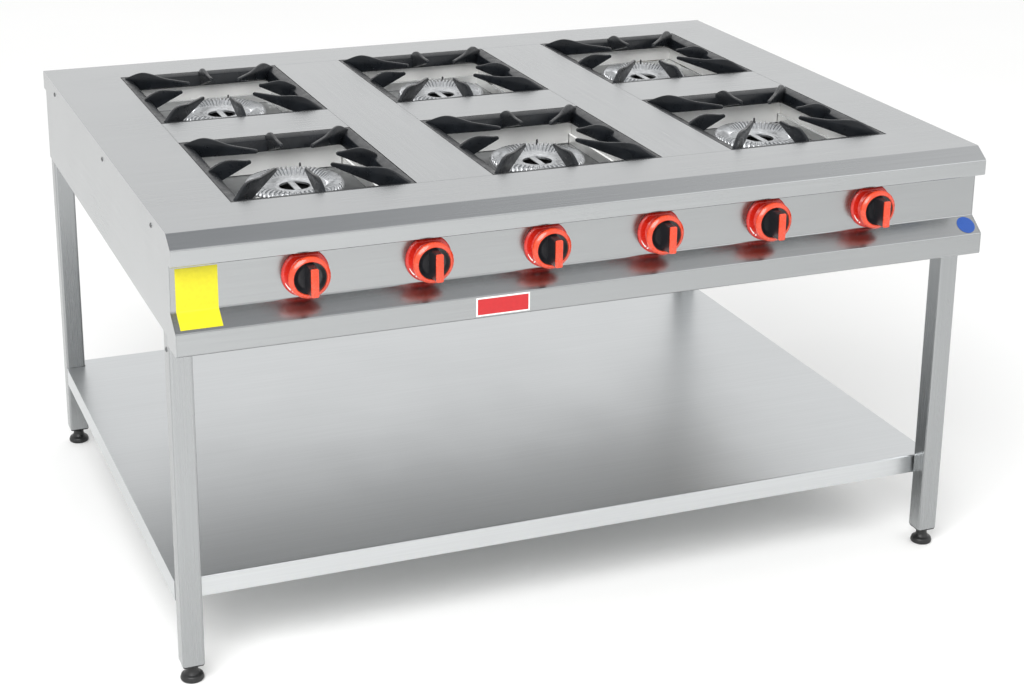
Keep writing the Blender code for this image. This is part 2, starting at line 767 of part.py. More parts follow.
def build_crowns(alloy):
    """Burner crowns: a ring whose crest is cut by radial flame slots, with a webbed centre."""
    under = -CROWN_THICKNESS
    plate = -CROWN_PLATE_DROP
    bm = bmesh.new()
    rings = []
    profile = [
        (CROWN_RADIUS - 0.008, under, False),
        (CROWN_RADIUS, plate, False),
        (CROWN_CREST_OUT, 0.0, True),
        (CROWN_CREST_IN, 0.0, True),
        (CROWN_FOOT, plate + 0.001, False),
        (CROWN_HOLE, plate, False),
        (CROWN_HOLE, under, False),
    ]
    for radius, height, slotted in profile:
        count = 2 * CROWN_TEETH if slotted else CROWN_SIDES
        ring = []
        for i in range(count):
            angle = 2 * math.pi * i / count
            lower = TOOTH_DEPTH if slotted and i % 2 else 0.0
            ring.append(bm.verts.new((radius * math.cos(angle), radius * math.sin(angle),
                                      height - lower)))
        rings.append(ring)
    for near, far in zip(rings, rings[1:] + rings[:1]):
        bridge_uneven(bm, near, far)
    crown = to_object("crown", bm, alloy)
    web = box_object("web", (-CROWN_WEB / 2, -CROWN_HOLE - 0.002, under + 0.001),
                     (CROWN_WEB / 2, CROWN_HOLE + 0.002, plate - 0.001))
    combine(crown, web, "UNION")
    for row, word in enumerate(("front", "rear")):
        for column in range(COLUMNS):
            copy_of(crown, f"burner_crown_{word}_{column + 1}",
                    (column_x(column), row_y(row), down(CROWN_DROP)))
    bpy.data.objects.remove(crown, do_unlink=True)


def bridge_uneven(bm, near, far):
    """Faces between two rings, one of which may have a whole number of times the other's points."""
    few, many = (near, far) if len(near) <= len(far) else (far, near)
    times = len(many) // len(few)
    for i, vert in enumerate(few):
        run = [many[(i * times + k) % len(many)] for k in range(times + 1)]
        middle = times // 2
        for k in range(middle):
            bm.faces.new((vert, run[k], run[k + 1]))
        after = few[(i + 1) % len(few)]
        bm.faces.new((vert, run[middle], after))
        for k in range(middle, times):
            bm.faces.new((after, run[k], run[k + 1]))


def build_burner_bodies(iron):
    """Cast burner bodies: a bowl under the crown and a waisted mixing tube to the front."""
    top = -CROWN_THICKNESS - GAP
    inner = BOWL_RADIUS - BOWL_WALL
    floor = top - BOWL_DEPTH + BOWL_WALL
    bowl_profile = [
        (0.0, floor + 2 * VENTURI_RADIUS),
        (inner * 0.72, floor + 2 * VENTURI_RADIUS),
        (inner, top - BOWL_LIP),
        (inner, top),
        (BOWL_RADIUS, top),
        (BOWL_RADIUS, top - BOWL_LIP),
        (BOWL_FOOT_RADIUS, top - BOWL_DEPTH),
        (0.0, top - BOWL_DEPTH),
    ]
    bowl = turned_object("burner_body", bowl_profile, BOWL_SIDES, iron)
    axis = top - BOWL_DEPTH + VENTURI_RADIUS
    reach = BOWL_FOOT_RADIUS + VENTURI_LENGTH
    tube_profile = [
        (0.0, 0.0),
        (VENTURI_RADIUS, 0.0),
        (VENTURI_RADIUS, BOWL_FOOT_RADIUS),
        (VENTURI_THROAT, BOWL_FOOT_RADIUS + VENTURI_LENGTH * 0.55),
        (VENTURI_RADIUS, reach),
        (VENTURI_THROAT, reach),
        (VENTURI_THROAT * 0.6, BOWL_FOOT_RADIUS + VENTURI_LENGTH * 0.6),
        (0.0, BOWL_FOOT_RADIUS + VENTURI_LENGTH * 0.6),
    ]
    mixer = turned_object("mixer", tube_profile, 12, None, facing_front)
    mixer.location.z = axis
    bpy.context.view_layer.update()
    combine(bowl, mixer, "UNION")
    for row, word in enumerate(("front", "rear")):
        for column in range(COLUMNS):
            copy_of(bowl, f"burner_body_{word}_{column + 1}",
                    (column_x(column), row_y(row), down(CROWN_DROP)))
    bpy.data.objects.remove(bowl, do_unlink=True)


def burner_axis_z():
    """Height of the mixing tubes' axes."""
    return down(CROWN_DROP + CROWN_THICKNESS + GAP + BOWL_DEPTH - VENTURI_RADIUS)


def build_trays(steel):
    """Spill trays, one to a column: a shallow pan with a collared hole under each crown."""
    bm = bmesh.new()
    section = [
        (0.0, 0.0),
        (SHEET, 0.0),
        (SHEET, -TRAY_DEPTH + SHEET),
        (SHEET + 0.02, -TRAY_DEPTH + SHEET),
        (SHEET + 0.02, -TRAY_DEPTH),
        (0.0, -TRAY_DEPTH),
    ]
    frame_ring(bm, section, TRAY_HALF_X, TRAY_HALF_Y, (0.0, 0.0), 0.0)
    tray = to_object("tray", bm, steel)
    floor = box_object("floor", (-TRAY_HALF_X + 0.01, -TRAY_HALF_Y + 0.01, -TRAY_DEPTH),
                       (TRAY_HALF_X - 0.01, TRAY_HALF_Y - 0.01, -TRAY_DEPTH + SHEET))
    combine(tray, floor, "UNION")
    middle = back(WELL_CENTRE)
    for row in range(ROWS):
        y = row_y(row) - middle
        collar = prism_object("collar", circle_outline(TRAY_HOLE_RADIUS + SHEET, 24, (0.0, y)),
                              along_z, -TRAY_DEPTH, -TRAY_DEPTH + TRAY_COLLAR)
        combine(tray, collar, "UNION")
        hole = prism_object("hole", circle_outline(TRAY_HOLE_RADIUS, 24, (0.0, y)),
                            along_z, -TRAY_DEPTH - 0.01, 0.02)
        combine(tray, hole, "DIFFERENCE")
    for column in range(COLUMNS):
        copy_of(tray, f"spill_tray_{column + 1}",
                (column_x(column), middle, down(SKIRT_DEPTH + GAP)))
    bpy.data.objects.remove(tray, do_unlink=True)


def build_burner_frame(steel):
    """Welded frame under the trays: two long rails between the side walls, and four crossbars."""
    reach = HALF_WIDTH - PANEL_INSET - SHEET - GAP
    top = down(CROSSBAR_DROP)
    low = top - CROSSBAR_HEIGHT
    front = back(FRONT_STRIP) + 0.012
    rear = back(WELL_CENTRE + WELL_HALF_Y) - 0.012
    frame = box_object("burner_frame", (-reach, front - CROSSBAR_WIDTH / 2, low),
                       (reach, front + CROSSBAR_WIDTH / 2, top), steel)
    rail = box_object("rail", (-reach, rear - CROSSBAR_WIDTH / 2, low),
                      (reach, rear + CROSSBAR_WIDTH / 2, top))
    combine(frame, rail, "UNION")
    for column in range(COLUMNS + 1):
        x = column_x(column) - COLUMN_PITCH / 2
        bar = box_object("bar", (x - CROSSBAR_WIDTH / 2, front, low + 0.002),
                         (x + CROSSBAR_WIDTH / 2, rear, top - 0.002))
        combine(frame, bar, "UNION")
    return frame


# ---- gas train and controls ----

def inlet_z():
    return down(KNOB_DROP + RAIL_BEHIND_KNOB)


def build_gas_rail(brass):
    """Gas rail with its six valve bodies and the pipe that runs back to the inlet."""
    z = inlet_z()
    y = back(RAIL_SETBACK)
    end = HALF_WIDTH - INLET_INSET
    stop_end = -HALF_WIDTH + 0.100
    bend = 0.030
    arc = [math.pi / 2 * k / 4 for k in range(5)]
    corner = [(end - bend + bend * math.sin(a), y + bend - bend * math.cos(a), z) for a in arc]
    outside = back(DECK_DEPTH) - 0.002
    bm = bmesh.new()
    tube_path(bm, [(stop_end, y, z)] + corner + [(end, outside - 0.03, z)], RAIL_RADIUS, 12)
    rail = to_object("gas_rail", bm, brass, 35)
    nut = prism_object("nut", circle_outline(INLET_NUT_RADIUS, 6, (end, z)), along_y,
                       outside - 0.040, outside - 0.016)
    combine(rail, nut, "UNION")
    thread = prism_object("thread", circle_outline(RAIL_RADIUS * 0.8, 12, (end, z)), along_y,
                          outside - 0.02, outside)
    combine(rail, thread, "UNION")
    for index in range(ROWS * COLUMNS):
        combine(rail, valve_body(index), "UNION")
        combine(rail, burner_pipe(index), "UNION")
    return rail


def valve_body(index):
    """Turned valve body on the knob's axis, from the rail to just behind the panel."""
    rear = RAIL_SETBACK + 0.012
    length = rear - (PANEL_SETBACK + SHEET + VALVE_SETBACK)
    profile = [
        (0.0, 0.0),
        (VALVE_RADIUS, 0.0),
        (VALVE_RADIUS, length * 0.62),
        (VALVE_STEM_RADIUS, length * 0.72),
        (VALVE_STEM_RADIUS, length),
        (SPINDLE_RADIUS + SPINDLE_CLEARANCE, length),
        (SPINDLE_RADIUS + SPINDLE_CLEARANCE, length * 0.42),
        (0.0, length * 0.42),
    ]
    body = turned_object("valve", profile, 12, None, facing_front)
    body.location = (knob_x(index), back(rear), down(KNOB_DROP))
    bpy.context.view_layer.update()
    return body


def burner_pipe(index):
    """Feed pipe from a valve to the jet in its burner's mixing tube."""
    column, row = index // ROWS, index % ROWS
    x = knob_x(index)
    z = down(KNOB_DROP) - VALVE_RADIUS * 0.5
    target_x = column_x(column)
    target_y = row_y(row) - BOWL_FOOT_RADIUS - VENTURI_LENGTH - 0.012
    start = Vector((x, back(RAIL_SETBACK - 0.004), z))
    jet = Vector((target_x, target_y, burner_axis_z()))
    outer_x = x if row == 0 else column_x(column) + math.copysign(0.125, x - column_x(column))
    run_y = target_y - 0.05
    low = Vector((x, start.y + 0.004, jet.z))
    turn = Vector((outer_x, start.y + 0.06, jet.z))
    path = [start, low, turn]
    if row:
        path.append(Vector((outer_x, run_y - 0.05, jet.z)))
    path += [Vector((target_x, run_y, jet.z)), jet]
    bm = bmesh.new()
    tube_path(bm, smooth_path(path), PIPE_RADIUS, 6)
    return to_object("pipe", bm, None)


def smooth_path(points, share=0.3):
    """Cuts each bend of a path once, so that the pipe turns in two easy steps."""
    result = [points[0]]
    for before, point, after in zip(points, points[1:], points[2:]):
        near = min((point - before).length, (after - point).length) * share
        result.append(point + (before - point).normalized() * near)
        result.append(point + (after - point).normalized() * near)
    return result + [points[-1]]


def spindle_base():
    """Distance behind the nose of the spindle's rear end."""
    return PANEL_SETBACK + SHEET + VALVE_SETBACK + SPINDLE_IN_VALVE


def build_spindle(index, steel):
    """Valve spindle: a round shank with a flat on the stretch that the knob slides on."""
    length = spindle_base() - PANEL_SETBACK + KNOB_REACH_IN
    shank = turned_object(f"valve_spindle_{index + 1}",
                          [(0.0, 0.0), (SPINDLE_RADIUS, 0.0), (SPINDLE_RADIUS, length),
                           (0.0, length)], 16, steel, facing_front)
    flat = box_object("flat", (-0.01, -length - 0.01, SPINDLE_FLAT),
                      (0.01, -length + SPINDLE_IN_KNOB + KNOB_TRAVEL, 0.01))
    combine(shank, flat, "DIFFERENCE")
    shank.location = (knob_x(index), back(spindle_base()), down(KNOB_DROP))
    return shank


def build_dial_plate(index, plastic):
    """Round dial plate with a flat top and a low collar round the spindle."""
    hole = PANEL_HOLE_RADIUS
    profile = [
        (hole, 0.0),
        (DIAL_RADIUS, 0.0),
        (DIAL_RADIUS, DIAL_THICKNESS * 0.6),
        (DIAL_RADIUS - 0.003, DIAL_THICKNESS),
        (DIAL_COLLAR_RADIUS, DIAL_THICKNESS),
        (DIAL_COLLAR_RADIUS - 0.002, DIAL_THICKNESS + DIAL_COLLAR),
        (hole, DIAL_THICKNESS + DIAL_COLLAR),
    ]
    plate = turned_object(f"dial_plate_{index + 1}", profile, 24, plastic, facing_front)
    chord = box_object("chord", (-0.06, -0.03, DIAL_FLAT), (0.06, 0.03, 0.06))
    combine(plate, chord, "DIFFERENCE")
    plate.location = (knob_x(index), back(PANEL_SETBACK) - GAP, down(KNOB_DROP))
    return plate


def build_knob(index, plastic):
    """Control knob: a flared skirt, a dished face and a bar grip that points at the setting."""
    widest = KNOB_SKIRT
    rim = KNOB_SKIRT + KNOB_NOSE
    profile = [
        (0.0, 0.0),
        (DIAL_COLLAR_RADIUS - 0.001, 0.0),
        (KNOB_RADIUS - 0.004, widest - 0.006),
        (KNOB_RADIUS, widest),
        (KNOB_RADIUS - 0.002, widest + KNOB_NOSE * 0.6),
        (KNOB_FACE_RADIUS + 0.001, rim),
        (KNOB_FACE_RADIUS - 0.001, rim - 0.001),
        (KNOB_FACE_RADIUS * 0.8, rim - KNOB_DISH),
        (0.0, rim - KNOB_DISH),
    ]
    knob = turned_object(f"knob_{index + 1}", profile, 24, plastic, facing_front)
    combine(knob, knob_bar(rim), "UNION")
    radius = SPINDLE_RADIUS + SPINDLE_CLEARANCE
    flat = SPINDLE_FLAT + SPINDLE_CLEARANCE
    start = math.asin(flat / radius)
    steps = [math.pi - start + (math.pi + 2 * start) * k / 12 for k in range(13)]
    bore = [(radius * math.cos(s), radius * math.sin(s)) for s in steps]
    depth = SPINDLE_IN_KNOB + 2 * GAP
    cutter = prism_object("bore", bore, along_y, 0.005, -depth)
    combine(knob, cutter, "DIFFERENCE")
    knob.location = (knob_x(index), back(PANEL_SETBACK - KNOB_REAR), down(KNOB_DROP))
    return knob


def knob_bar(rim):
    """Bar grip across the knob's face, with rounded corners and a narrower front."""
    half_length = KNOB_BAR_LENGTH / 2
    half_width = KNOB_BAR_WIDTH / 2
    front = rim + KNOB_BAR_REACH
    base = rim - KNOB_DISH - 0.002
    bm = bmesh.new()
    rings = []
    for height, grow, stretch in ((base, 0.0015, 0.0), (front - 0.003, 0.0, 0.0),
                                  (front, -0.0015, -0.002)):
        ring = []
        for quarter in range(4):
            side = 1 if quarter in (0, 3) else -1
            end = 1 if quarter < 2 else -1
            for step in range(3):
                angle = math.pi / 2 * (quarter + step / 2)
                ring.append(bm.verts.new((
                    side * (half_width + grow - KNOB_BAR_CORNER) + KNOB_BAR_CORNER * math.cos(angle),
                    -height,
                    end * (half_length + stretch - KNOB_BAR_CORNER)
                    + KNOB_BAR_CORNER * math.sin(angle))))
        rings.append(ring)
    for near, far in zip(rings, rings[1:]):
        bridge(bm, near, far, len(near))
    bm.faces.new(rings[0])
    bm.faces.new(rings[-1])
    return to_object("bar", bm, None)


def main():
    clear_scene()
    steel = make_material("brushed_stainless", (0.60, 0.61, 0.61), 0.34, 1.0)
    frame_steel = make_material("stainless_tube", (0.55, 0.56, 0.56), 0.38, 1.0)
    iron = make_material("enamelled_cast_iron", (0.018, 0.020, 0.024), 0.32, 0.0)
    alloy = make_material("burner_alloy", (0.66, 0.67, 0.69), 0.36, 1.0)
    grey_iron = make_material("cast_burner_body", (0.20, 0.20, 0.21), 0.60, 1.0)
    brass = make_material("gas_rail_brass", (0.62, 0.48, 0.22), 0.35, 1.0)
    spindle_steel = make_material("spindle_steel", (0.60, 0.58, 0.52), 0.30, 1.0)
    red = make_material("dial_red", (0.62, 0.03, 0.02), 0.35, 0.0)
    orange = make_material("knob_orange", (0.85, 0.09, 0.02), 0.32, 0.0)
    black = make_material("black_plastic", (0.02, 0.02, 0.02), 0.50, 0.0)

    build_deck_top(steel)
    for index in range(COLUMNS - 1):
        build_divider(index, steel)
    for column in range(COLUMNS):
        build_bridge(column, steel)
    build_control_panel(steel)
    build_side_panel("side_panel_left", -1, steel)
    build_side_panel("side_panel_right", 1, steel)
    build_back_panel(steel)
    build_legs(frame_steel)
    build_feet(black)
    build_shelf(steel)
    build_burner_frame(frame_steel)
    build_grates(iron)
    build_crowns(alloy)
    build_burner_bodies(grey_iron)
    build_trays(steel)
    build_gas_rail(brass)
    for index in range(ROWS * COLUMNS):
        build_spindle(index, spindle_steel)
        build_dial_plate(index, red)
        build_knob(index, orange)


main()
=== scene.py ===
"""Finishes, fine surfaces and studio for a six-burner gas range.

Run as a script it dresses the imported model: every sheet, casting and moulding gets its finish,
and the knobs, dials, grates, crowns, feet and small trim get their fine surfaces.
"""

import math

import bmesh
import bpy
import numpy as np
from bpy.props import FloatProperty, FloatVectorProperty, IntProperty, PointerProperty
from mathutils import Matrix, Vector


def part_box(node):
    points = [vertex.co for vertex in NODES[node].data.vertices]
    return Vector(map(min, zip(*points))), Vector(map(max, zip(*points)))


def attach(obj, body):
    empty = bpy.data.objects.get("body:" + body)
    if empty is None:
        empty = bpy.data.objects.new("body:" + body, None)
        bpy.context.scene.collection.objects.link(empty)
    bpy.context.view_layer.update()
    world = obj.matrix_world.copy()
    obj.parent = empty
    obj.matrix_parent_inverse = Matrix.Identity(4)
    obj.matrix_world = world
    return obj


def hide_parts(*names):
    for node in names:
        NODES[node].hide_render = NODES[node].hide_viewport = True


bl_info = {
    "name": "Gas Range Looks",
    "version": (1, 0, 0),
    "blender": (4, 5, 0),
    "location": "View3D > Sidebar > Gas Range",
    "description": "Finishes and fine surfaces for a six-burner gas range",
    "category": "Object",
}

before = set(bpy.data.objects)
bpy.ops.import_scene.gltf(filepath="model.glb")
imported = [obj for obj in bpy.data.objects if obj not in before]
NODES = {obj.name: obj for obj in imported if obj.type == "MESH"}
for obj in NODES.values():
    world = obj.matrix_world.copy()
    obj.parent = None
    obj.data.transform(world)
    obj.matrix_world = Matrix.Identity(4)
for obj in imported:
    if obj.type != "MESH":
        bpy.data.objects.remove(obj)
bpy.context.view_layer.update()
DECK_LOW, DECK_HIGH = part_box("deck_top")
WORKTOP = DECK_HIGH.z
PLACES = [f"{row}_{column}" for row in ("front", "rear") for column in (1, 2, 3)]
CORNERS = [f"{end}_{side}" for end in ("front", "rear") for side in ("left", "right")]
KNOBS = [1, 2, 3, 4, 5, 6]
PANEL_SETBACK = 0.028    # the panel's face lies this far behind the deck's nose
SLOPE_TOP = 0.137        # the drip slope starts this far below the worktop
SLOPE_DROP = 0.027       # and falls this much to the apron


def linear(code):
    """Linear colour, with alpha 1, of an sRGB hex code such as #A0B1C2."""
    parts = [int(code[i:i + 2], 16) / 255 for i in (1, 3, 5)]
    return tuple(p / 12.92 if p <= 0.04045 else ((p + 0.055) / 1.055) ** 2.4
                 for p in parts) + (1.0,)


# ---- what a user would change ----

def colour(name, code, description):
    """A colour the user can set, with an sRGB hex code as its default."""
    return FloatVectorProperty(name=name, description=description, default=linear(code),
                               size=4, min=0.0, max=1.0, subtype="COLOR")


def length(name, metres, description):
    """A length the user can set, in metres."""
    return FloatProperty(name=name, description=description, default=metres, min=0.0,
                         precision=4, unit="LENGTH", subtype="DISTANCE")


class RangeFinishes(bpy.types.PropertyGroup):
    """Colours of the finishes and the spacing of the brushing"""
    steel: colour("Stainless", "#AFB1B2", "Colour of the brushed stainless sheet")
    tube: colour("Stainless tube", "#A4A6A7", "Colour of the stand's square tube")
    tray: colour("Tray steel", "#9A9C9E", "Colour of the spill trays")
    # painted highlight: the steel inside the wells is painted near white in place of its lit
    # reflection
    painted_well_highlight: colour("Well steel", "#F6F6F4", "Colour of the bright mill finish inside the wells")
    enamel: colour("Enamel", "#1C1F23", "Colour of the enamel on the grates")
    crown: colour("Crown", "#D4D6D8", "Colour of the plated burner crowns")
    iron: colour("Grey iron", "#5A5A5C", "Colour of the bare burner castings")
    brass: colour("Brass", "#C9A45C", "Colour of the gas pipe and its fittings")
    orange: colour("Knob orange", "#DC3E14", "Colour of a knob's skirt and pointer")
    black: colour("Knob black", "#15161A", "Colour of a knob's face")
    red: colour("Dial red", "#CC2416", "Colour of a dial plate")
    rubber: colour("Foot black", "#121314", "Colour of the levelling feet")
    label: colour("Label yellow", "#D6CC1C", "Colour of the large blank label")
    badge: colour("Badge", "#F2F2F0", "Colour of the small blank badge's border")
    stripe: colour("Badge field", "#BC2428", "Colour of the field on the badge")
    disc: colour("Disc blue", "#2450A0", "Colour of the round blank label")
    grain: length("Grain spacing", 0.0016, "Distance between brushing marks")


class RangeShapes(bpy.types.PropertyGroup):
    """Sizes of the fine surfaces"""
    fin: length("Fin thickness", 0.0090, "Thickness of a grate's fin at its foot")
    fin_edge: length("Fin edge", 0.0016, "Rounding of a fin's edges")
    teeth: IntProperty(name="Crown teeth", description="Teeth round a burner crown",
                       default=60, min=6, max=90)
    screw: length("Screw head", 0.0046, "Radius of a casing screw's head")
    film: length("Label film", 0.0003, "How far a label stands off the steel")


class RangeStudio(bpy.types.PropertyGroup):
    """The floor and the camera's lens"""
    floor: colour("Floor", "#FCFCFB", "Colour of the studio floor")
    floor_size: length("Floor size", 60.0, "Side of the studio floor")
    lens: FloatProperty(name="Lens", description="Focal length in mm on a 36 mm sensor",
                        default=70.88, min=10.0, max=300.0)


# ---- surfaces ----

def grid_faces(rows, columns, wrap_rows, wrap_columns):
    """Quads of a grid of points in reading order; a wrapped direction joins its two ends."""
    r, c = np.meshgrid(np.arange(rows if wrap_rows else rows - 1),
                       np.arange(columns if wrap_columns else columns - 1), indexing="ij")
    far_r, far_c = (r + 1) % rows, (c + 1) % columns
    corners = [r * columns + c, r * columns + far_c, far_r * columns + far_c, far_r * columns + c]
    return np.stack(corners, -1).reshape(-1, 4)


def make_piece(name, surfaces, material, body, smooth=35):
    """One object from grids of points; poles are merged, and each shell's faces point outwards.

    A surface is (points, wrap rows, wrap columns, cap ends), where capped ends close the first
    and the last row with a flat face.
    """
    points, faces, start = [], [], 0
    for grid, wrap_rows, wrap_columns, capped in surfaces:
        rows, columns = grid.shape[:2]
        points.append(grid.reshape(-1, 3))
        faces += (grid_faces(rows, columns, wrap_rows, wrap_columns) + start).tolist()
        if capped:
            faces.append(list(range(start, start + columns)))
            faces.append(list(range(start + (rows - 1) * columns, start + rows * columns)))
        start += rows * columns
    mesh = bpy.data.meshes.new(name)
    mesh.from_pydata(np.concatenate(points).tolist(), [], faces)
    shell = bmesh.new()
    shell.from_mesh(mesh)
    bmesh.ops.remove_doubles(shell, verts=shell.verts, dist=2e-6)
    bmesh.ops.recalc_face_normals(shell, faces=shell.faces)
    shell.to_mesh(mesh)
    shell.free()
    mesh.shade_smooth()
    mesh.set_sharp_from_angle(angle=math.radians(smooth))
    mesh.materials.append(material)
    piece = bpy.data.objects.new(name, mesh)
    bpy.context.scene.collection.objects.link(piece)
    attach(piece, body)
    return piece


def placed(grid, place, turn=None):
    """The same grid of points, turned by a 3 x 3 matrix and moved to a place."""
    if turn is not None:
        grid = grid @ np.array(turn).T
    return grid + np.array(place)


def eased(corners, radius, steps=5):
    """A line through corner points with each inner corner rounded by a quadratic arc."""
    p = np.array(corners, float)
    before, here, after = p[:-2], p[1:-1], p[2:]
    back, ahead = before - here, after - here
    near = np.linalg.norm(back, axis=1, keepdims=True)
    far = np.linalg.norm(ahead, axis=1, keepdims=True)
    cut = np.minimum(radius, 0.48 * np.minimum(near, far))
    enter, leave = here + back / near * cut, here + ahead / far * cut
    t = np.linspace(0, 1, steps)[None, :, None]
    arcs = (1 - t) ** 2 * enter[:, None] + 2 * t * (1 - t) * here[:, None] + t ** 2 * leave[:, None]
    return np.concatenate([p[:1], arcs.reshape(-1, 2), p[-1:]])


def turned(profile, count):
    """A profile of (radius, height) turned round Z: x = r cos a, y = r sin a, z = h."""
    a = np.linspace(0, 2 * np.pi, count, endpoint=False)
    r, h = profile[:, :1], profile[:, 1:]
    return np.stack([r * np.cos(a), r * np.sin(a), h + 0 * a], -1)


def rounded_rectangles(half_x, half_y, radius, steps):
    """Closed outlines, one a row: four quarter circles whose ends the straight sides join."""
    a = np.linspace(0, np.pi / 2, steps)
    quarter = np.arange(4).repeat(steps)
    angle = np.tile(a, 4) + quarter * np.pi / 2
    sign_x = np.array([1, -1, -1, 1])[quarter]
    sign_y = np.array([1, 1, -1, -1])[quarter]
    half_x, half_y, radius = (np.reshape(v, (-1, 1)) for v in (half_x, half_y, radius))
    x = sign_x * (half_x - radius) + radius * np.cos(angle)
    y = sign_y * (half_y - radius) + radius * np.sin(angle)
    return x, y


def slab(outline, half, edge, steps=4):
    """A flat solid of a closed outline in (along, up), with rounded edges.

    From one side to the other the outline grows by edge * sin(a) while the side moves out by
    edge * cos(a), so that each edge is a quarter circle. half may differ for each point.
    """
    ahead = np.roll(outline, -1, 0) - np.roll(outline, 1, 0)
    ahead /= np.linalg.norm(ahead, axis=1, keepdims=True)
    area = np.sum(outline[:, 0] * np.roll(outline[:, 1], -1)
                  - outline[:, 1] * np.roll(outline[:, 0], -1))
    outward = np.stack([ahead[:, 1], -ahead[:, 0]], -1) * np.sign(area)
    a = np.linspace(0, np.pi / 2, steps)
    inset = np.concatenate([edge * (1 - np.sin(a)), edge * (1 - np.sin(a[::-1]))])
    side = np.concatenate([-np.ones(steps), np.ones(steps)])
    shy = np.concatenate([edge * (1 - np.cos(a)), edge * (1 - np.cos(a[::-1]))])
    shape = outline[None] - outward[None] * inset[:, None, None]
    across = side[:, None] * (half - shy[:, None]) + 0 * shape[..., 0]
    return np.stack([shape[..., 0], across, shape[..., 1]], -1)


# ---- materials ----

def add_node(tree, kind, inputs=None, **attributes):
    """Adds a node; an input's value is a number, a colour or the socket to link to it."""
    node = tree.nodes.new(kind)
    for key, value in attributes.items():
        setattr(node, key, value)
    for key, value in (inputs or {}).items():
        if isinstance(value, bpy.types.NodeSocket):
            tree.links.new(value, node.inputs[key])
        else:
            node.inputs[key].default_value = value
    return node


def new_material(name, **sockets):
    """An empty Principled material; sockets are constants set on its shader."""
    material = bpy.data.materials.new(name)
    material.use_nodes = True
    shader = material.node_tree.nodes["Principled BSDF"]
    for key, value in sockets.items():
        shader.inputs[key.replace("_", " ")].default_value = value
    return material, material.node_tree, shader


def mottle(tree, size, detail, low, high, stretch=(1.0, 1.0, 1.0)):
    """Noise on Object coordinates, size metres across, mapped to run from low to high."""
    coordinates = add_node(tree, "ShaderNodeTexCoord")
    scale = tuple(1.0 / (size * s) for s in stretch)
    mapping = add_node(tree, "ShaderNodeMapping",
                       {"Vector": coordinates.outputs["Object"], "Scale": scale})
    noise = add_node(tree, "ShaderNodeTexNoise",
                     {"Vector": mapping.outputs["Vector"], "Scale": 1.0, "Detail": detail})
    spread = add_node(tree, "ShaderNodeMapRange",
                      {"Value": noise.outputs["Fac"], "From Min": 0.3, "From Max": 0.7,
                       "To Min": low, "To Max": high})
    return spread.outputs["Result"]


def shade(tree, shader, base, darker, amount):
    """Base colour that leans towards a darker colour by a mottled amount."""
    mix = add_node(tree, "ShaderNodeMix", {0: amount, 6: base, 7: darker}, data_type="RGBA")
    tree.links.new(mix.outputs[2], shader.inputs["Base Color"])


def relief(tree, shader, height, metres, strength):
    """Small bumps on the surface, so many metres high at full strength."""
    bump = add_node(tree, "ShaderNodeBump",
                    {"Height": height, "Distance": metres, "Strength": strength})
    tree.links.new(bump.outputs["Normal"], shader.inputs["Normal"])


def tinted(base, factor):
    """A colour made darker or lighter by a factor."""
    return tuple(c * factor for c in base[:3]) + (1.0,)


WELL_MARGIN = 0.012   # how far the painted highlight reaches beyond the spill trays
WELL_LOW = 0.70       # below the deepest tray
WELL_LIP = 0.0108     # the grates' ledge, which stays brushed, ends this far below the worktop


def painted_highlight_mask(tree):
    """Mask of the painted highlight: 1 inside the burner wells and 0 outside, where the largest of
    |p - centre| - half is below 0.
    """
    first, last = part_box("spill_tray_1")[0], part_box("spill_tray_3")[1]
    low = Vector((first.x - WELL_MARGIN, first.y - WELL_MARGIN, WELL_LOW))
    high = Vector((last.x + WELL_MARGIN, last.y + WELL_MARGIN, WORKTOP - WELL_LIP))
    place = add_node(tree, "ShaderNodeTexCoord").outputs["Object"]
    away = add_node(tree, "ShaderNodeVectorMath", {0: place, 1: (low + high) / 2},
                    operation="SUBTRACT")
    size = add_node(tree, "ShaderNodeVectorMath", {0: away.outputs[0]}, operation="ABSOLUTE")
    over = add_node(tree, "ShaderNodeVectorMath", {0: size.outputs[0], 1: (high - low) / 2},
                    operation="SUBTRACT")
    split = add_node(tree, "ShaderNodeSeparateXYZ", {"Vector": over.outputs[0]})
    most = add_node(tree, "ShaderNodeMath", {0: split.outputs["X"], 1: split.outputs["Y"]},
                    operation="MAXIMUM")
    most = add_node(tree, "ShaderNodeMath", {0: most.outputs[0], 1: split.outputs["Z"]},
                    operation="MAXIMUM")
    inside = add_node(tree, "ShaderNodeMath", {0: most.outputs[0], 1: 0.0}, operation="LESS_THAN")
    return inside.outputs[0]


SCRATCH_LENGTH = 90.0   # a scratch is this many times as long as it is wide
CLOUD = 0.22            # size in metres of the faint clouds that wiping leaves


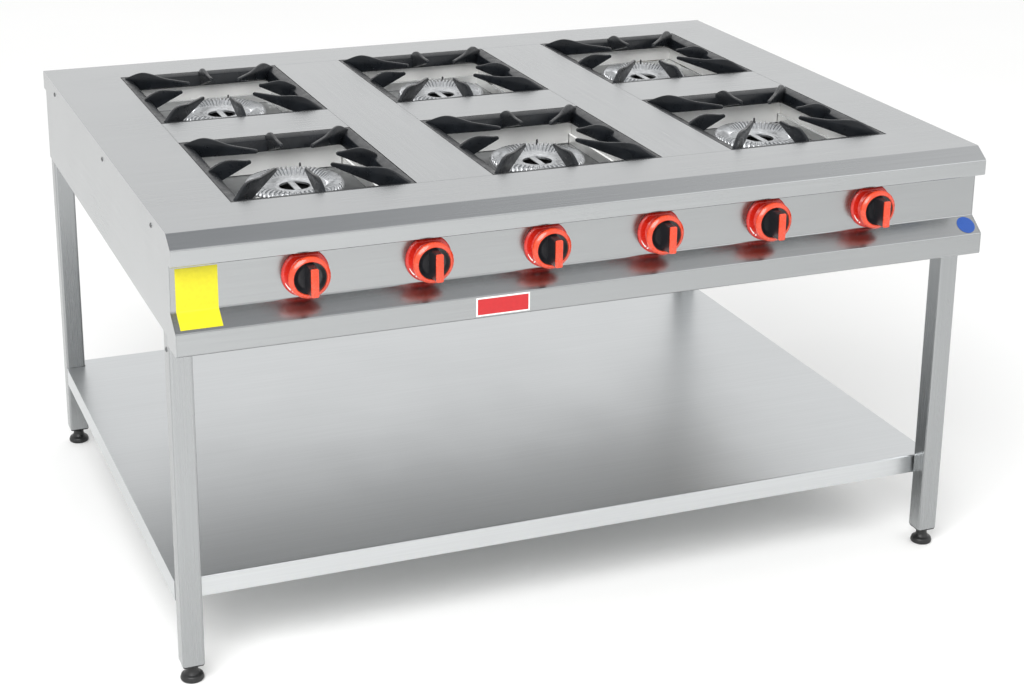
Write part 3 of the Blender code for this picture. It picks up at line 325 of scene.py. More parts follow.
def brushed_stainless(name, base, roughness, along, grain, painted_well_highlight=None):
    """Belt-brushed stainless: scratches along one axis, and faint clouds where it was wiped.

    The scratches spread a light into a soft streak across them. The real spacing of about
    0.2 mm is too fine to show, so it is drawn at the grain's value. Inside the wells the sheet
    is painted near white as a painted highlight, and made rougher and less metallic.
    """
    material, tree, shader = new_material(name, Metallic=1.0)
    stretch = [1.0, 1.0, 1.0]
    stretch["XYZ".index(along)] = SCRATCH_LENGTH
    scratches = mottle(tree, grain, 3.0, -0.02, 0.02, stretch)
    clouds = mottle(tree, CLOUD, 2.0, roughness - 0.02, roughness + 0.02)
    rough = add_node(tree, "ShaderNodeMath", {0: scratches, 1: clouds}, operation="ADD")
    streak = mottle(tree, grain * 1.7, 2.0, 0.0, 1.0, stretch)
    mix = add_node(tree, "ShaderNodeMix", {0: streak, 6: base, 7: tinted(base, 0.95)},
                   data_type="RGBA")
    if painted_well_highlight is None:
        tree.links.new(rough.outputs[0], shader.inputs["Roughness"])
        tree.links.new(mix.outputs[2], shader.inputs["Base Color"])
    else:
        # painted highlight: inside the wells the colour is painted near white
        inside = painted_highlight_mask(tree)
        painted_highlight_colour = add_node(tree, "ShaderNodeMix", {0: inside, 6: mix.outputs[2], 7: painted_well_highlight},
                        data_type="RGBA")
        tree.links.new(painted_highlight_colour.outputs[2], shader.inputs["Base Color"])
        dull = add_node(tree, "ShaderNodeMix", {0: inside, 2: rough.outputs[0], 3: 0.5})
        tree.links.new(dull.outputs[0], shader.inputs["Roughness"])
        metal = add_node(tree, "ShaderNodeMapRange", {"Value": inside, "To Min": 1.0,
                                                      "To Max": 0.35})
        tree.links.new(metal.outputs["Result"], shader.inputs["Metallic"])
    relief(tree, shader, mottle(tree, grain, 4.0, 0.0, 1.0, stretch), 0.00002, 0.15)
    return material


def tray_steel(name, floor, wall, turn):
    """Spill tray sheet: walls painted near white as a painted highlight, and a floor stained grey
    by heat.
    """
    material, tree, shader = new_material(name, Metallic=0.9)
    place = add_node(tree, "ShaderNodeTexCoord").outputs["Object"]
    height = add_node(tree, "ShaderNodeSeparateXYZ", {"Vector": place}).outputs["Z"]
    # painted highlight: the walls above the floor are painted near white
    painted_highlight_wall = add_node(tree, "ShaderNodeMath", {0: height, 1: turn}, operation="GREATER_THAN")
    stain = add_node(tree, "ShaderNodeMix", {0: mottle(tree, 0.05, 4.0, 0.0, 1.0), 6: floor,
                                             7: tinted(floor, 0.7)}, data_type="RGBA")
    mix = add_node(tree, "ShaderNodeMix", {0: painted_highlight_wall.outputs[0], 6: stain.outputs[2], 7: wall},
                   data_type="RGBA")
    tree.links.new(mix.outputs[2], shader.inputs["Base Color"])
    tree.links.new(mottle(tree, 0.04, 3.0, 0.30, 0.42), shader.inputs["Roughness"])
    return material


def mottled(name, base, rough, tint, grain=None, **sockets):
    """A finish with mottled roughness, clouds of a darker tint and small bumps.

    rough is (size, detail, low, high), tint is (factor, size, detail) and grain is (size,
    detail, height in metres, strength).
    """
    material, tree, shader = new_material(name, **sockets)
    tree.links.new(mottle(tree, *rough), shader.inputs["Roughness"])
    factor, size, detail = tint
    shade(tree, shader, base, tinted(base, factor), mottle(tree, size, detail, 0.0, 1.0))
    if grain is not None:
        size, detail, metres, strength = grain
        relief(tree, shader, mottle(tree, size, detail, 0.0, 1.0), metres, strength)
    return material


def fired_enamel(name, base):
    """Black enamel fired on cast iron: glassy, softly wavy, with a pitted casting under it."""
    return mottled(name, base, (0.018, 3.0, 0.22, 0.42), (0.55, 0.030, 4.0),
                   (0.0022, 3.0, 0.00010, 0.5), Metallic=0.0, IOR=1.45, Coat_Weight=0.12,
                   Coat_Roughness=0.2, Specular_IOR_Level=0.28)


def plated_casting(name, base):
    """Nickel-plated sand casting: bright, with the mould's grain left in the metal."""
    return mottled(name, base, (0.012, 3.0, 0.26, 0.46), (0.72, 0.009, 4.0),
                   (0.0018, 3.0, 0.00006, 0.5), Metallic=1.0)


def bare_casting(name, base):
    """Grey iron as cast: dull, sandy and a little uneven in colour."""
    return mottled(name, base, (0.010, 4.0, 0.55, 0.78), (0.6, 0.025, 4.0),
                   (0.0015, 3.0, 0.00020, 0.7), Metallic=0.85)


def drawn_brass(name, base):
    """Drawn and turned brass: warm and smooth, with dull patches of oxide."""
    return mottled(name, base, (0.030, 4.0, 0.22, 0.48), (0.62, 0.040, 4.0),
                   (0.0008, 2.0, 0.00002, 0.4), Metallic=1.0)


def moulded_plastic(name, base, roughness, coat):
    """Injection-moulded phenolic: even colour, faint orange peel, a soft window of light."""
    return mottled(name, base, (0.009, 2.0, roughness - 0.04, roughness + 0.05),
                   (0.86, 0.014, 2.0), (0.0011, 2.0, 0.00003, 0.35), Metallic=0.0, IOR=1.54,
                   Coat_Weight=coat, Coat_Roughness=0.12)


def printed_film(name, base):
    """Printed vinyl film: flat ink under a satin skin, with slight lifts in the glue."""
    return mottled(name, base, (0.010, 2.0, 0.34, 0.46), (0.93, 0.006, 3.0),
                   (0.008, 2.0, 0.00004, 0.4), Metallic=0.0, IOR=1.46)


def painted_floor(name, base):
    """Matt white studio floor, rolled paint on a smooth board."""
    return mottled(name, base, (0.4, 2.0, 0.82, 0.9), (0.985, 0.9, 2.0), Metallic=0.0,
                   IOR=1.45, Specular_IOR_Level=0.1)


def dress(names, material):
    """Puts a finish on CAD nodes in place of their own."""
    for name in names:
        slots = NODES[name].data.materials
        slots.clear()
        slots.append(material)


def settings():
    """The three groups of what a user can set."""
    scene = bpy.context.scene
    return scene.range_finishes, scene.range_shapes, scene.range_studio


# ---- operators, one for each piece or group ----

PANEL_PAINTED_SHADE = 0.88    # painted shade: the panel's sheet is drawn darker than the deck's
SHELF_PAINTED_LIGHT = 1.42    # painted light: the shelf's sheet is drawn paler than the deck's
TRAY_FLOOR = 0.0022  # a tray's walls, painted near white as a painted highlight, start this far above its underside


class RANGE_OT_sheet_metal(bpy.types.Operator):
    """Finish the deck, its strips, the panels, the shelf and the stand"""
    bl_idname = "gas_range.sheet_metal"
    bl_label = "Sheet Metal"

    def execute(self, context):
        finish, _, _ = settings()
        # painted highlight: inside the wells the deck and strips are painted near white
        deck = brushed_stainless("stainless_brushed_deck", finish.steel, 0.25, "X", finish.grain,
                                 finish.painted_well_highlight)
        strips = brushed_stainless("stainless_brushed_strips", finish.steel, 0.25, "Y",
                                   finish.grain, finish.painted_well_highlight)
        # painted shade: the panels use the same steel drawn darker
        across = brushed_stainless("stainless_brushed_across_painted_shade",
                                   tinted(finish.steel, PANEL_PAINTED_SHADE), 0.24, "X", finish.grain)
        # painted light: the shelf uses the same steel drawn paler
        shelf = brushed_stainless("stainless_brushed_shelf_painted_light",
                                  tinted(finish.steel, SHELF_PAINTED_LIGHT), 0.34, "X", finish.grain)
        lengthwise = brushed_stainless("stainless_brushed_lengthwise", finish.steel, 0.25, "Y",
                                       finish.grain)
        upright = brushed_stainless("stainless_tube_brushed_upright", finish.tube, 0.28, "Z",
                                    finish.grain)
        # painted highlight: the trays' walls are painted near white
        tray_low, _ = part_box("spill_tray_1")
        tray = tray_steel("stainless_tray_heat_stain_painted_highlight", finish.tray, finish.painted_well_highlight,
                          tray_low.z + TRAY_FLOOR)
        dress(["deck_top"] + [f"grate_bridge_{c}" for c in (1, 2, 3)], deck)
        dress(["deck_divider_1", "deck_divider_2"], strips)
        dress(["control_panel", "back_panel"], across)
        dress(["lower_shelf"], shelf)
        dress(["side_panel_left", "side_panel_right"], lengthwise)
        dress([f"leg_{corner}" for corner in CORNERS] + ["burner_frame"], upright)
        dress([f"spill_tray_{c}" for c in (1, 2, 3)], tray)
        return {"FINISHED"}


class RANGE_OT_gas_train(bpy.types.Operator):
    """Finish the gas rail, the burner castings and the valve spindles"""
    bl_idname = "gas_range.gas_train"
    bl_label = "Gas Train"

    def execute(self, context):
        finish, _, _ = settings()
        dress(["gas_rail"], drawn_brass("brass_drawn_pipe", finish.brass))
        dress([f"burner_body_{place}" for place in PLACES],
              bare_casting("grey_iron_as_cast", finish.iron))
        dress([f"valve_spindle_{k}" for k in KNOBS],
              drawn_brass("spindle_plated_steel", finish.crown))
        return {"FINISHED"}


RIM = 0.020            # width of a grate's dished rim
WALL_FOOT = 0.027      # how far inwards the frame's wall ends
WALL_DROP = 0.025      # how far below the deck it ends
FIN_START = 0.006      # a fin leaves the rim this far inwards
CLIMB_RUN = 0.040      # length of its climb to the hump
FALL_RUN = 0.042       # length of its fall to the pan support
FIN_NOSE = 0.00375     # radius of its round tip
FIN_TIP = 0.080        # distance of the tip from the burner's centre
FIN_DRAFT = 0.0032     # how much thinner a fin is at its top than at its foot
HUMP = 0.0035          # height of a straight fin's hump over the pan support


def fin_outline(root, tip, slant, rise, hump):
    """Side of a fin in (distance, height), over its hump and down to the tip.

    The climb is hump * sin(t) ** slant, the fall a half cosine to the pan support, and the tip a
    half circle. The lower edge runs straight back to the foot of the frame's sloping wall.
    """
    start = root - FIN_START * slant
    crest = start - CLIMB_RUN * slant
    nose = FIN_NOSE
    a = np.linspace(0.10, 1, 12)
    climb = np.stack([start + (crest - start) * a, hump * np.sin(np.pi / 2 * a) ** slant], -1)
    run = min(FALL_RUN * slant, crest - tip - nose - 0.002)
    t = np.linspace(0, 1, 10)[1:]
    fall = np.stack([crest - run * t, rise + (hump - rise) * (0.5 + 0.5 * np.cos(np.pi * t))], -1)
    b = np.linspace(np.pi / 2, 3 * np.pi / 2, 9)
    end = np.stack([tip + nose + nose * np.cos(b), rise - nose + nose * np.sin(b)], -1)
    foot = np.array([(root - 0.02425 * slant, 0.001 - WALL_DROP),
                     (root - 0.0135 * slant, -0.0075), (start + 0.0005, -0.0045)])
    return np.concatenate([climb, fall, end, foot])


class RANGE_OT_grates(bpy.types.Operator):
    """Cast the six pan grates: a sunk frame with rounded edges and eight tapering fins"""
    bl_idname = "gas_range.grates"
    bl_label = "Pan Grates"

    def execute(self, context):
        finish, shape, _ = settings()
        enamel = fired_enamel("enamel_on_cast_iron", finish.enamel)
        for place in PLACES:
            low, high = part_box(f"grate_{place}")
            half_x, half_y = (high.x - low.x) / 2, (high.y - low.y) / 2
            centre = ((low.x + high.x) / 2, (low.y + high.y) / 2, WORKTOP)
            hump = high.z - WORKTOP
            piece = make_piece(f"grate_casting_{place}",
                               self.surfaces(half_x, half_y, hump, shape, centre), enamel,
                               f"pan_grate_{place}", smooth=50)
            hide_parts(f"grate_{place}")
        return {"FINISHED"}

    def surfaces(self, half_x, half_y, hump, shape, centre):
        """The frame's eased section carried round a rounded rectangle, and the eight fins."""
        section = [(0.0, -0.005), (0.0, 0.0), (0.004, -0.0001), (0.013, -0.0018),
                   (RIM, -0.0040), (WALL_FOOT, -WALL_DROP), (0.0215, -WALL_DROP),
                   (0.012, -0.0097), (0.0, -0.0097), (0.0, -0.005)]
        section = eased(section, 0.0022)[:-1]
        inward = section[:, 0]
        x, y = rounded_rectangles(half_x - inward, half_y - inward, 0.003 + inward * 0.35, 6)
        ring = np.stack([x, y, section[:, 1:] + 0 * x], -1)
        surfaces = [(placed(ring, centre), True, True, False)]
        for across in (-1, 0, 1):
            for along in (-1, 0, 1):
                if across or along:
                    surfaces.append(self.fin(across * half_x, along * half_y, hump, shape, centre))
        return surfaces

    def fin(self, end_x, end_y, hump, shape, centre):
        """One slab fin, thinner at its top, turned to point from the centre to the rim."""
        reach = math.hypot(end_x, end_y)
        slant = math.sqrt(2) if end_x and end_y else 1.0
        rise = hump - HUMP * 2 ** 0.75
        peak = rise + HUMP * slant ** 1.5
        outline = fin_outline(reach, FIN_TIP, slant, rise, peak)
        share = (outline[:, 1] + WALL_DROP) / (peak + WALL_DROP)
        half = (shape.fin - FIN_DRAFT * share) / 2
        turn = Matrix.Rotation(math.atan2(end_y, end_x), 3, "Z")
        grid = slab(outline, half[None, :], shape.fin_edge)
        return placed(grid, centre, turn), False, True, True


def slot_wave(count, teeth, half, soft):
    """1 in the slots between teeth and 0 on them, with a smoothstep flank, round a circle."""
    s = (np.arange(count) / count * teeth) % 1.0
    t = np.clip((half + soft - np.abs(s - 0.5)) / soft, 0, 1)
    return t * t * (3 - 2 * t)


SLOT_DEPTH = 0.0042      # depth of a flame slot
SLOT_HALF = 0.18         # half the width of a slot, as a share of a tooth
SLOT_FLANK = 0.12        # width of its sloping side, as a share of a tooth
POINTS_PER_TOOTH = 10
WEB_REACH = 0.029        # how far the web runs each way from the centre
WEB_HALF = 0.006         # half its thickness
WEB_EDGE = 0.0012        # rounding of its edges


class RANGE_OT_crowns(bpy.types.Operator):
    """Shape the six burner crowns with radial flame slots and a webbed centre"""
    bl_idname = "gas_range.crowns"
    bl_label = "Burner Crowns"

    def execute(self, context):
        finish, shape, _ = settings()
        metal = plated_casting("nickel_plated_casting", finish.crown)
        for place in PLACES:
            low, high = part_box(f"burner_crown_{place}")
            centre = ((low.x + high.x) / 2, (low.y + high.y) / 2, high.z)
            ring = self.ring((high.x - low.x) / 2, high.z - low.z, shape.teeth)
            web = self.web(high.z - low.z)
            piece = make_piece(f"crown_casting_{place}",
                               [(placed(ring, centre), True, True, False),
                                (placed(web, centre), False, True, True)],
                               metal, "range", smooth=40)
            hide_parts(f"burner_crown_{place}")
        return {"FINISHED"}

    def ring(self, radius, depth, teeth):
        """Turned profile whose height drops by slot depth times the slot wave of its angle."""
        profile = [(radius - 0.008, -depth, 0.0), (radius - 0.0008, -0.0118, 0.0),
                   (radius, -0.0104, 0.0), (0.0908, -0.0066, 0.7), (0.0880, -0.0024, 1.0),
                   (0.0856, -0.0004, 1.0), (0.0838, 0.0, 1.0), (0.0735, 0.0, 1.0),
                   (0.0708, -0.0008, 1.0), (0.0655, -0.0040, 0.9), (0.0600, -0.0068, 0.55),
                   (0.0560, -0.0086, 0.15), (0.0520, -0.0096, 0.0),
                   (0.0390, -0.0104, 0.0), (0.0378, -0.0117, 0.0), (0.0362, -0.0117, 0.0),
                   (0.0350, -0.0106, 0.0), (0.0300, -0.0110, 0.0), (0.0283, -0.0122, 0.0),
                   (0.0280, -depth, 0.0)]
        r, z, cut = np.array(profile).T[:, :, None]
        count = teeth * POINTS_PER_TOOTH
        a = np.linspace(0, 2 * np.pi, count, endpoint=False)
        height = z - SLOT_DEPTH * cut * slot_wave(count, teeth, SLOT_HALF, SLOT_FLANK)
        return np.stack([r * np.cos(a), r * np.sin(a), height], -1)

    def web(self, depth):
        """Rounded bar between the two holes: a slab lying along Y under the plate's face."""
        low, top = 0.001 - depth, -0.0116
        outline = eased([(0.0, low), (WEB_REACH, low), (WEB_REACH, top), (-WEB_REACH, top),
                         (-WEB_REACH, low), (0.0, low)], 0.001)[:-1]
        grid = slab(outline, WEB_HALF, WEB_EDGE)
        return placed(grid, (0, 0, 0), Matrix.Rotation(math.pi / 2, 3, "Z"))


SENSOR_GAP = 0.0065     # from a crown's edge to the middle of its flame sensor
SENSOR_BEARING = 68     # degrees from X, which is behind the crown and to its right
SENSOR_RISE = 0.003     # how far the tip stands above the crown


class RANGE_OT_pilots(bpy.types.Operator):
    """Stand a flame sensor with its clip nut at the back of each crown"""
    bl_idname = "gas_range.pilots"
    bl_label = "Flame Sensors"

    def execute(self, context):
        finish, _, _ = settings()
        metal = bare_casting("sensor_heat_blued_steel", finish.iron)
        for place in PLACES:
            low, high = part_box(f"burner_crown_{place}")
            radius = (high.x - low.x) / 2 + SENSOR_GAP
            angle = math.radians(SENSOR_BEARING)
            x = (low.x + high.x) / 2 + radius * math.cos(angle)
            y = (low.y + high.y) / 2 + radius * math.sin(angle)
            top = high.z + SENSOR_RISE
            profile = [(0.0, -0.052), (0.0026, -0.052), (0.0026, -0.030), (0.0046, -0.030),
                       (0.0046, -0.022), (0.0020, -0.022), (0.0020, -0.002), (0.0012, 0.0),
                       (0.0, 0.0)]
            pin = turned(eased(profile, 0.0008), 20)
            make_piece(f"flame_sensor_{place}", [(placed(pin, (x, y, top)), False, True, False)],
                       metal, "range", smooth=40)
        return {"FINISHED"}


FRONT_FACING = ((1, 0, 0), (0, 0, -1), (0, 1, 0))   # the turned axis points towards the front
SKIRT_RADIUS = 0.0372   # widest radius of a knob
CAP_DEPTH = 0.0033      # thickness of the pointer's orange cap
CAP_LAP = 0.0001        # how far the black stem stops short of the cap's back


class RANGE_OT_knobs(bpy.types.Operator):
    """Mould the six knobs: an orange skirt, a dished black face and a pointer bar"""
    bl_idname = "gas_range.knobs"
    bl_label = "Control Knobs"

    def execute(self, context):
        finish, _, _ = settings()
        orange = moulded_plastic("phenolic_orange_moulded", finish.orange, 0.26, 0.5)
        black = moulded_plastic("phenolic_black_moulded", finish.black, 0.34, 0.15)
        for k in KNOBS:
            low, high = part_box(f"knob_{k}")
            place = ((low.x + high.x) / 2, high.y, (low.z + high.z) / 2)
            body = f"control_knob_{k}"
            front = high.y - low.y
            skirt, face, cap = self.skirt(SKIRT_RADIUS), self.face(), self.cap(front)
            bar = self.bar(front - CAP_DEPTH - CAP_LAP)
            piece = make_piece(f"knob_skirt_{k}", [(placed(skirt, place), True, True, False)],
                               orange, body, smooth=50)
            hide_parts(f"knob_{k}")
            make_piece(f"knob_face_{k}", [(placed(face, place), False, True, False),
                                          (placed(bar, place), False, True, True)], black, body)
            make_piece(f"knob_pointer_{k}", [(placed(cap, place), False, True, True)], orange, body)
        return {"FINISHED"}

    def skirt(self, radius):
        """Closed turned section: a flaring back, a full round nose and a short inner lip."""
        section = [(0.0250, 0.0002), (0.0265, 0.0002), (0.0330, 0.0070), (radius, 0.0120),
                   (radius - 0.0008, 0.0152), (0.0322, 0.0188), (0.0300, 0.0200),
                   (0.0288, 0.0196), (0.0284, 0.0170), (0.0250, 0.0120), (0.0250, 0.0002)]
        return turned(eased(section, 0.0028)[:-1], 96) @ np.array(FRONT_FACING).T

    def face(self):
        """Turned disc that dips from the lip to a flat floor, closed behind."""
        profile = [(0.0, 0.0140), (0.0212, 0.0140), (0.0262, 0.0172), (0.0284, 0.0186),
                   (0.0284, 0.0110), (0.0, 0.0110)]
        return turned(eased(profile, 0.0022), 96) @ np.array(FRONT_FACING).T

    def lofted(self, steps):
        """Rounded rectangles (half width, half length, corner, height) joined in a column."""
        w, l, c, h = np.array(steps).T
        x, z = rounded_rectangles(w, l, c, 7)
        return np.stack([x, -h[:, None] + 0 * x, z], -1)

    def bar(self, front):
        """Black stem of the pointer, drawn in a little towards its front."""
        return self.lofted([(0.0088, 0.0262, 0.0040, 0.0120), (0.0086, 0.0260, 0.0040, 0.0160),
                            (0.0070, 0.0252, 0.0030, 0.0190), (0.0066, 0.0250, 0.0028, front)])

    def cap(self, front):
        """Orange cap of the pointer with an eased front edge."""
        back = front - CAP_DEPTH
        return self.lofted([(0.0062, 0.0246, 0.0024, back), (0.0067, 0.0250, 0.0028, back + 0.0002),
                            (0.0067, 0.0250, 0.0028, front - 0.0010),
                            (0.0064, 0.0247, 0.0026, front - 0.0003),
                            (0.0058, 0.0241, 0.0022, front)])


MARK_INSET = 0.0034     # the printed marks stay this far inside a dial's edge


class RANGE_OT_dials(bpy.types.Operator):
    """Mould the dial plates with their collars and print the flame marks"""
    bl_idname = "gas_range.dials"
    bl_label = "Dial Plates"

    def execute(self, context):
        finish, _, _ = settings()
        red = moulded_plastic("dial_red_moulded", finish.red, 0.28, 0.4)
        white = printed_film("dial_white_print", finish.badge)
        for k in KNOBS:
            low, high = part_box(f"dial_plate_{k}")
            radius = (high.x - low.x) / 2
            centre = ((low.x + high.x) / 2, high.y, low.z + radius)
            flat = high.z - centre[2]
            plate = self.plate(radius, flat, high.y - low.y)
            piece = make_piece(f"dial_moulding_{k}", [(placed(plate, centre), True, True, False)],
                               red, "range", smooth=45)
            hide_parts(f"dial_plate_{k}")
            marks = [(placed(self.wedge(radius), centre), False, True, True),
                     (placed(self.dot(radius), centre), False, True, True)]
            make_piece(f"dial_marks_{k}", marks, white, "range")
        return {"FINISHED"}

    def plate(self, radius, flat, depth):
        """Turned section whose outer part is cut off by a flat top: r = min(r, flat / sin a)."""
        section = [(0.0095, 0.0), (radius, 0.0), (radius, 0.0036), (radius - 0.0030, 0.0060),
                   (0.0290, 0.0064), (0.0262, depth - 0.0006), (0.0240, depth),
                   (0.0095, depth), (0.0095, 0.0)]
        section = eased(section, 0.0014)[:-1]
        a = np.linspace(0, 2 * np.pi, 128, endpoint=False)
        r, h = section[:, :1], section[:, 1:]
        trim = flat - (radius - r) * 1.0
        cut = np.where(np.sin(a) > 0.2, trim / np.maximum(np.sin(a), 0.2), 1.0)
        r = np.where(r > 0.03, np.minimum(r + 0 * a, cut), r + 0 * a)
        return np.stack([r * np.cos(a), -h + 0 * a, r * np.sin(a)], -1)

    def wedge(self, radius):
        """Printed arc low on the plate's left that widens from a low to a high flame."""
        a = np.radians(np.linspace(200, 224, 13))
        width = np.linspace(0.0010, 0.0024, 13)
        inner, outer = radius - MARK_INSET - width, radius - MARK_INSET + 0 * width
        return self.print_between(a, inner, outer)

    def dot(self, radius):
        """Printed mark at the end of the arc, for the closed valve."""
        a = np.radians(np.linspace(229, 233, 5))
        return self.print_between(a, radius - 0.0062 + 0 * a, radius - MARK_INSET + 0 * a)

    def print_between(self, a, inner, outer):
        """Thin closed film between two radii along an arc, just proud of the plate."""
        r = np.concatenate([inner, outer[::-1]])
        a = np.concatenate([a, a[::-1]])
        h = np.array([[0.0060], [0.0066]])
        return np.stack([r * np.cos(a) + 0 * h, -h + 0 * a, r * np.sin(a) + 0 * h], -1)


class RANGE_OT_feet(bpy.types.Operator):
    """Mould the four levelling feet and the plugs that they screw into"""
    bl_idname = "gas_range.feet"
    bl_label = "Levelling Feet"

    def execute(self, context):
        finish, _, _ = settings()
        nylon = moulded_plastic("nylon_black_moulded", finish.rubber, 0.46, 0.0)
        for corner in CORNERS:
            low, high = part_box(f"levelling_foot_{corner}")
            place = ((low.x + high.x) / 2, (low.y + high.y) / 2, 0.0)
            radius, top = (high.x - low.x) / 2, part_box(f"leg_{corner}")[0].z
            profile = [(0.0, 0.0), (radius - 0.0015, 0.0), (radius, 0.0040),
                       (radius - 0.0020, 0.0105), (radius - 0.0075, 0.0135), (0.0110, 0.0190),
                       (0.0105, top - 0.0075), (0.0060, top - 0.0075), (0.0060, high.z),
                       (0.0, high.z)]
            foot = turned(eased(profile, 0.0020), 64)
            piece = make_piece(f"foot_moulding_{corner}",
                               [(placed(foot, place), False, True, False)], nylon,
                               f"foot_{corner}", smooth=40)
            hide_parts(f"levelling_foot_{corner}")
            make_piece(f"leg_plug_{corner}", [self.plug(place, top)], nylon, "range")
        return {"FINISHED"}

    def plug(self, place, top):
        """Flat square cap under the tube: rounded rectangles in a column, closed at both ends."""
        half = np.array([0.0170, 0.0188, 0.0190, 0.0186])
        x, y = rounded_rectangles(half, half, np.full(4, 0.0040), 6)
        z = np.array([-0.0034, -0.0030, -0.0012, -0.0003])[:, None] + 0 * x
        return placed(np.stack([x, y, z], -1), (place[0], place[1], top)), False, True, True


SCREW_SETBACKS = (0.142, 0.562, 1.073)       # of the deck's side screws, from the nose
SCREW_SHARES = (-0.45, -0.15, 0.15, 0.45)    # of the deck's rear screws, in its width
SIDE_SCREW_DROP, REAR_SCREW_DROP, LEG_SCREW_DROP = 0.020, 0.026, 0.220   # below the worktop
SCREW_TINT = 0.45                            # the screws are darker than the tube


class RANGE_OT_screws(bpy.types.Operator):
    """Set the casing screws in the deck's edges and beside the legs"""
    bl_idname = "gas_range.screws"
    bl_label = "Casing Screws"

    def execute(self, context):
        finish, shape, _ = settings()
        metal = brushed_stainless("screw_turned_stainless", tinted(finish.tube, SCREW_TINT), 0.3,
                                  "Z", 0.0006)
        surfaces = []
        for side in (-1, 1):
            turn = Matrix(((0, 0, side), (side, 0, 0), (0, 1, 0)))
            x = DECK_HIGH.x * side
            for setback in SCREW_SETBACKS:
                place = (x, DECK_LOW.y + setback, WORKTOP - SIDE_SCREW_DROP)
                surfaces.append(self.head(shape.screw, place, turn))
            leg_low, leg_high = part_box("leg_front_right" if side > 0 else "leg_front_left")
            x = leg_high.x if side > 0 else leg_low.x
            place = (x, (leg_low.y + leg_high.y) / 2, WORKTOP - LEG_SCREW_DROP)
            surfaces.append(self.head(shape.screw, place, turn))
        back = Matrix(((-1, 0, 0), (0, 0, 1), (0, 1, 0)))
        for share in SCREW_SHARES:
            x = share * (DECK_HIGH.x - DECK_LOW.x)
            place = (x, DECK_HIGH.y, WORKTOP - REAR_SCREW_DROP)
            surfaces.append(self.head(shape.screw, place, back))
        make_piece("casing_screws", surfaces, metal, "range", smooth=30)
        return {"FINISHED"}

    def head(self, radius, place, turn):
        """Domed head: height falls with the square of the radius, less a cross recess."""
        r = np.linspace(1, 0, 13)[:, None]
        a = np.linspace(0, 2 * np.pi, 48, endpoint=False)
        x, y = r * np.cos(a), r * np.sin(a)
        near = np.minimum(np.abs(x), np.abs(y))
        cross = np.clip((0.17 - near) / 0.06, 0, 1) * np.clip((0.62 - r) / 0.08, 0, 1)
        z = 0.0022 * (1 - 0.75 * r ** 2) - 0.0011 * cross
        dome = np.stack([x * radius, y * radius, z], -1)
        skirt = np.stack([x[0] * radius, y[0] * radius, 0 * a], -1)
        centre = np.array([[[0.0, 0.0, 0.0]]]).repeat(len(a), 1)
        grid = np.concatenate([centre, skirt[None], dome])
        return placed(grid, place, turn), False, True, False


LABEL_X = (0.0085, 0.080)         # ends of the large label, from the panel's left end
LABEL_TOP = 0.062                 # its top edge, below the worktop
LABEL_REACH = 0.84                # how much of the slope it covers
BADGE_MIDDLE = 0.574              # from the panel's left end
BADGE_Z = (0.1665, 0.2005)        # its top and bottom edges, below the worktop
BADGE_HALF, BADGE_BORDER = 0.050, 0.0027
DISC_X, DISC_RADIUS = 1.530, 0.0185


class RANGE_OT_labels(bpy.types.Operator):
    """Stick the blank labels on the front: one over the slope, a badge and a disc"""
    bl_idname = "gas_range.labels"
    bl_label = "Blank Labels"

    def execute(self, context):
        finish, shape, _ = settings()
        panel_low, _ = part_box("control_panel")
        left, apron = panel_low.x, panel_low.y
        face, film = DECK_LOW.y + PANEL_SETBACK, shape.film
        bend = WORKTOP - SLOPE_TOP
        end = (face - film + (apron - face) * LABEL_REACH, bend - SLOPE_DROP * LABEL_REACH)
        route = eased([(face - film, WORKTOP - LABEL_TOP), (face - film, bend), end], 0.0035)
        make_piece("label_over_slope",
                   [self.strip(left + LABEL_X[0], left + LABEL_X[1], route, film)],
                   printed_film("vinyl_yellow", finish.label), "range")
        self.badge("badge_border", left + BADGE_MIDDLE, apron - film, 0.0, film,
                   printed_film("badge_white_film", finish.badge))
        self.badge("badge_field", left + BADGE_MIDDLE, apron - 3 * film, BADGE_BORDER, film,
                   printed_film("badge_red_field", finish.stripe))
        turn = Matrix.Rotation(math.atan2(SLOPE_DROP, face - apron), 3, "X")
        spot = turned(np.array([(0.0, 0.0002), (DISC_RADIUS - 0.0002, 0.0002),
                                (DISC_RADIUS, 0.0004), (0.0, 0.0006)]), 64)
        place = (left + DISC_X, (face + apron) / 2, bend - SLOPE_DROP / 2)
        make_piece("label_disc", [(placed(spot, place, turn), False, True, False)],
                   printed_film("vinyl_blue", finish.disc), "range")
        return {"FINISHED"}

    def badge(self, name, middle, y, inset, film, material):
        """An upright strip of film, drawn in from the badge's edges by an inset."""
        half = BADGE_HALF - inset
        route = np.array([(y, WORKTOP - BADGE_Z[0] - inset), (y, WORKTOP - BADGE_Z[1] + inset)])
        make_piece(name, [self.strip(middle - half, middle + half, route, film)], material, "range")

    def strip(self, low_x, high_x, route, film):
        """A route in (y, z) carried across X, doubled back one film thickness behind."""
        behind = route[::-1] + np.array([film * 0.9, 0.0])
        loop = np.concatenate([route, behind])
        x = np.array([[low_x], [high_x]])
        y, z = loop[None, :, 0], loop[None, :, 1]
        return np.stack([x + 0 * y, y + 0 * x, z + 0 * x], -1), False, True, True


SOFTBOXES = [   # name, place, size in metres, watts
    ("softbox_key", (-2.0, -2.8, 3.4), (2.6, 2.6), 135.0),
    ("softbox_fill", (2.6, -3.2, 2.2), (2.4, 2.4), 14.0),
]
AIM = (0.0, 0.0, 0.5)                         # what the softboxes point at
CEILING = (0.36, 0.37, 0.39, 1.0)             # colour straight above, where the walls are white
CEILING_EDGE = 0.84                           # sine of the height at which the walls start to fade
WALL_STRENGTH = 1.06
CAMERA_FROM_CORNER = (-0.6445, -3.0563, 1.0335)   # from the worktop's front left corner
CAMERA_DEGREES = (22.074, 18.068, 0.648)      # to the right, downwards, and leaning to the right
CAMERA_SHIFT = -0.1172                        # a rising front, which keeps the legs upright


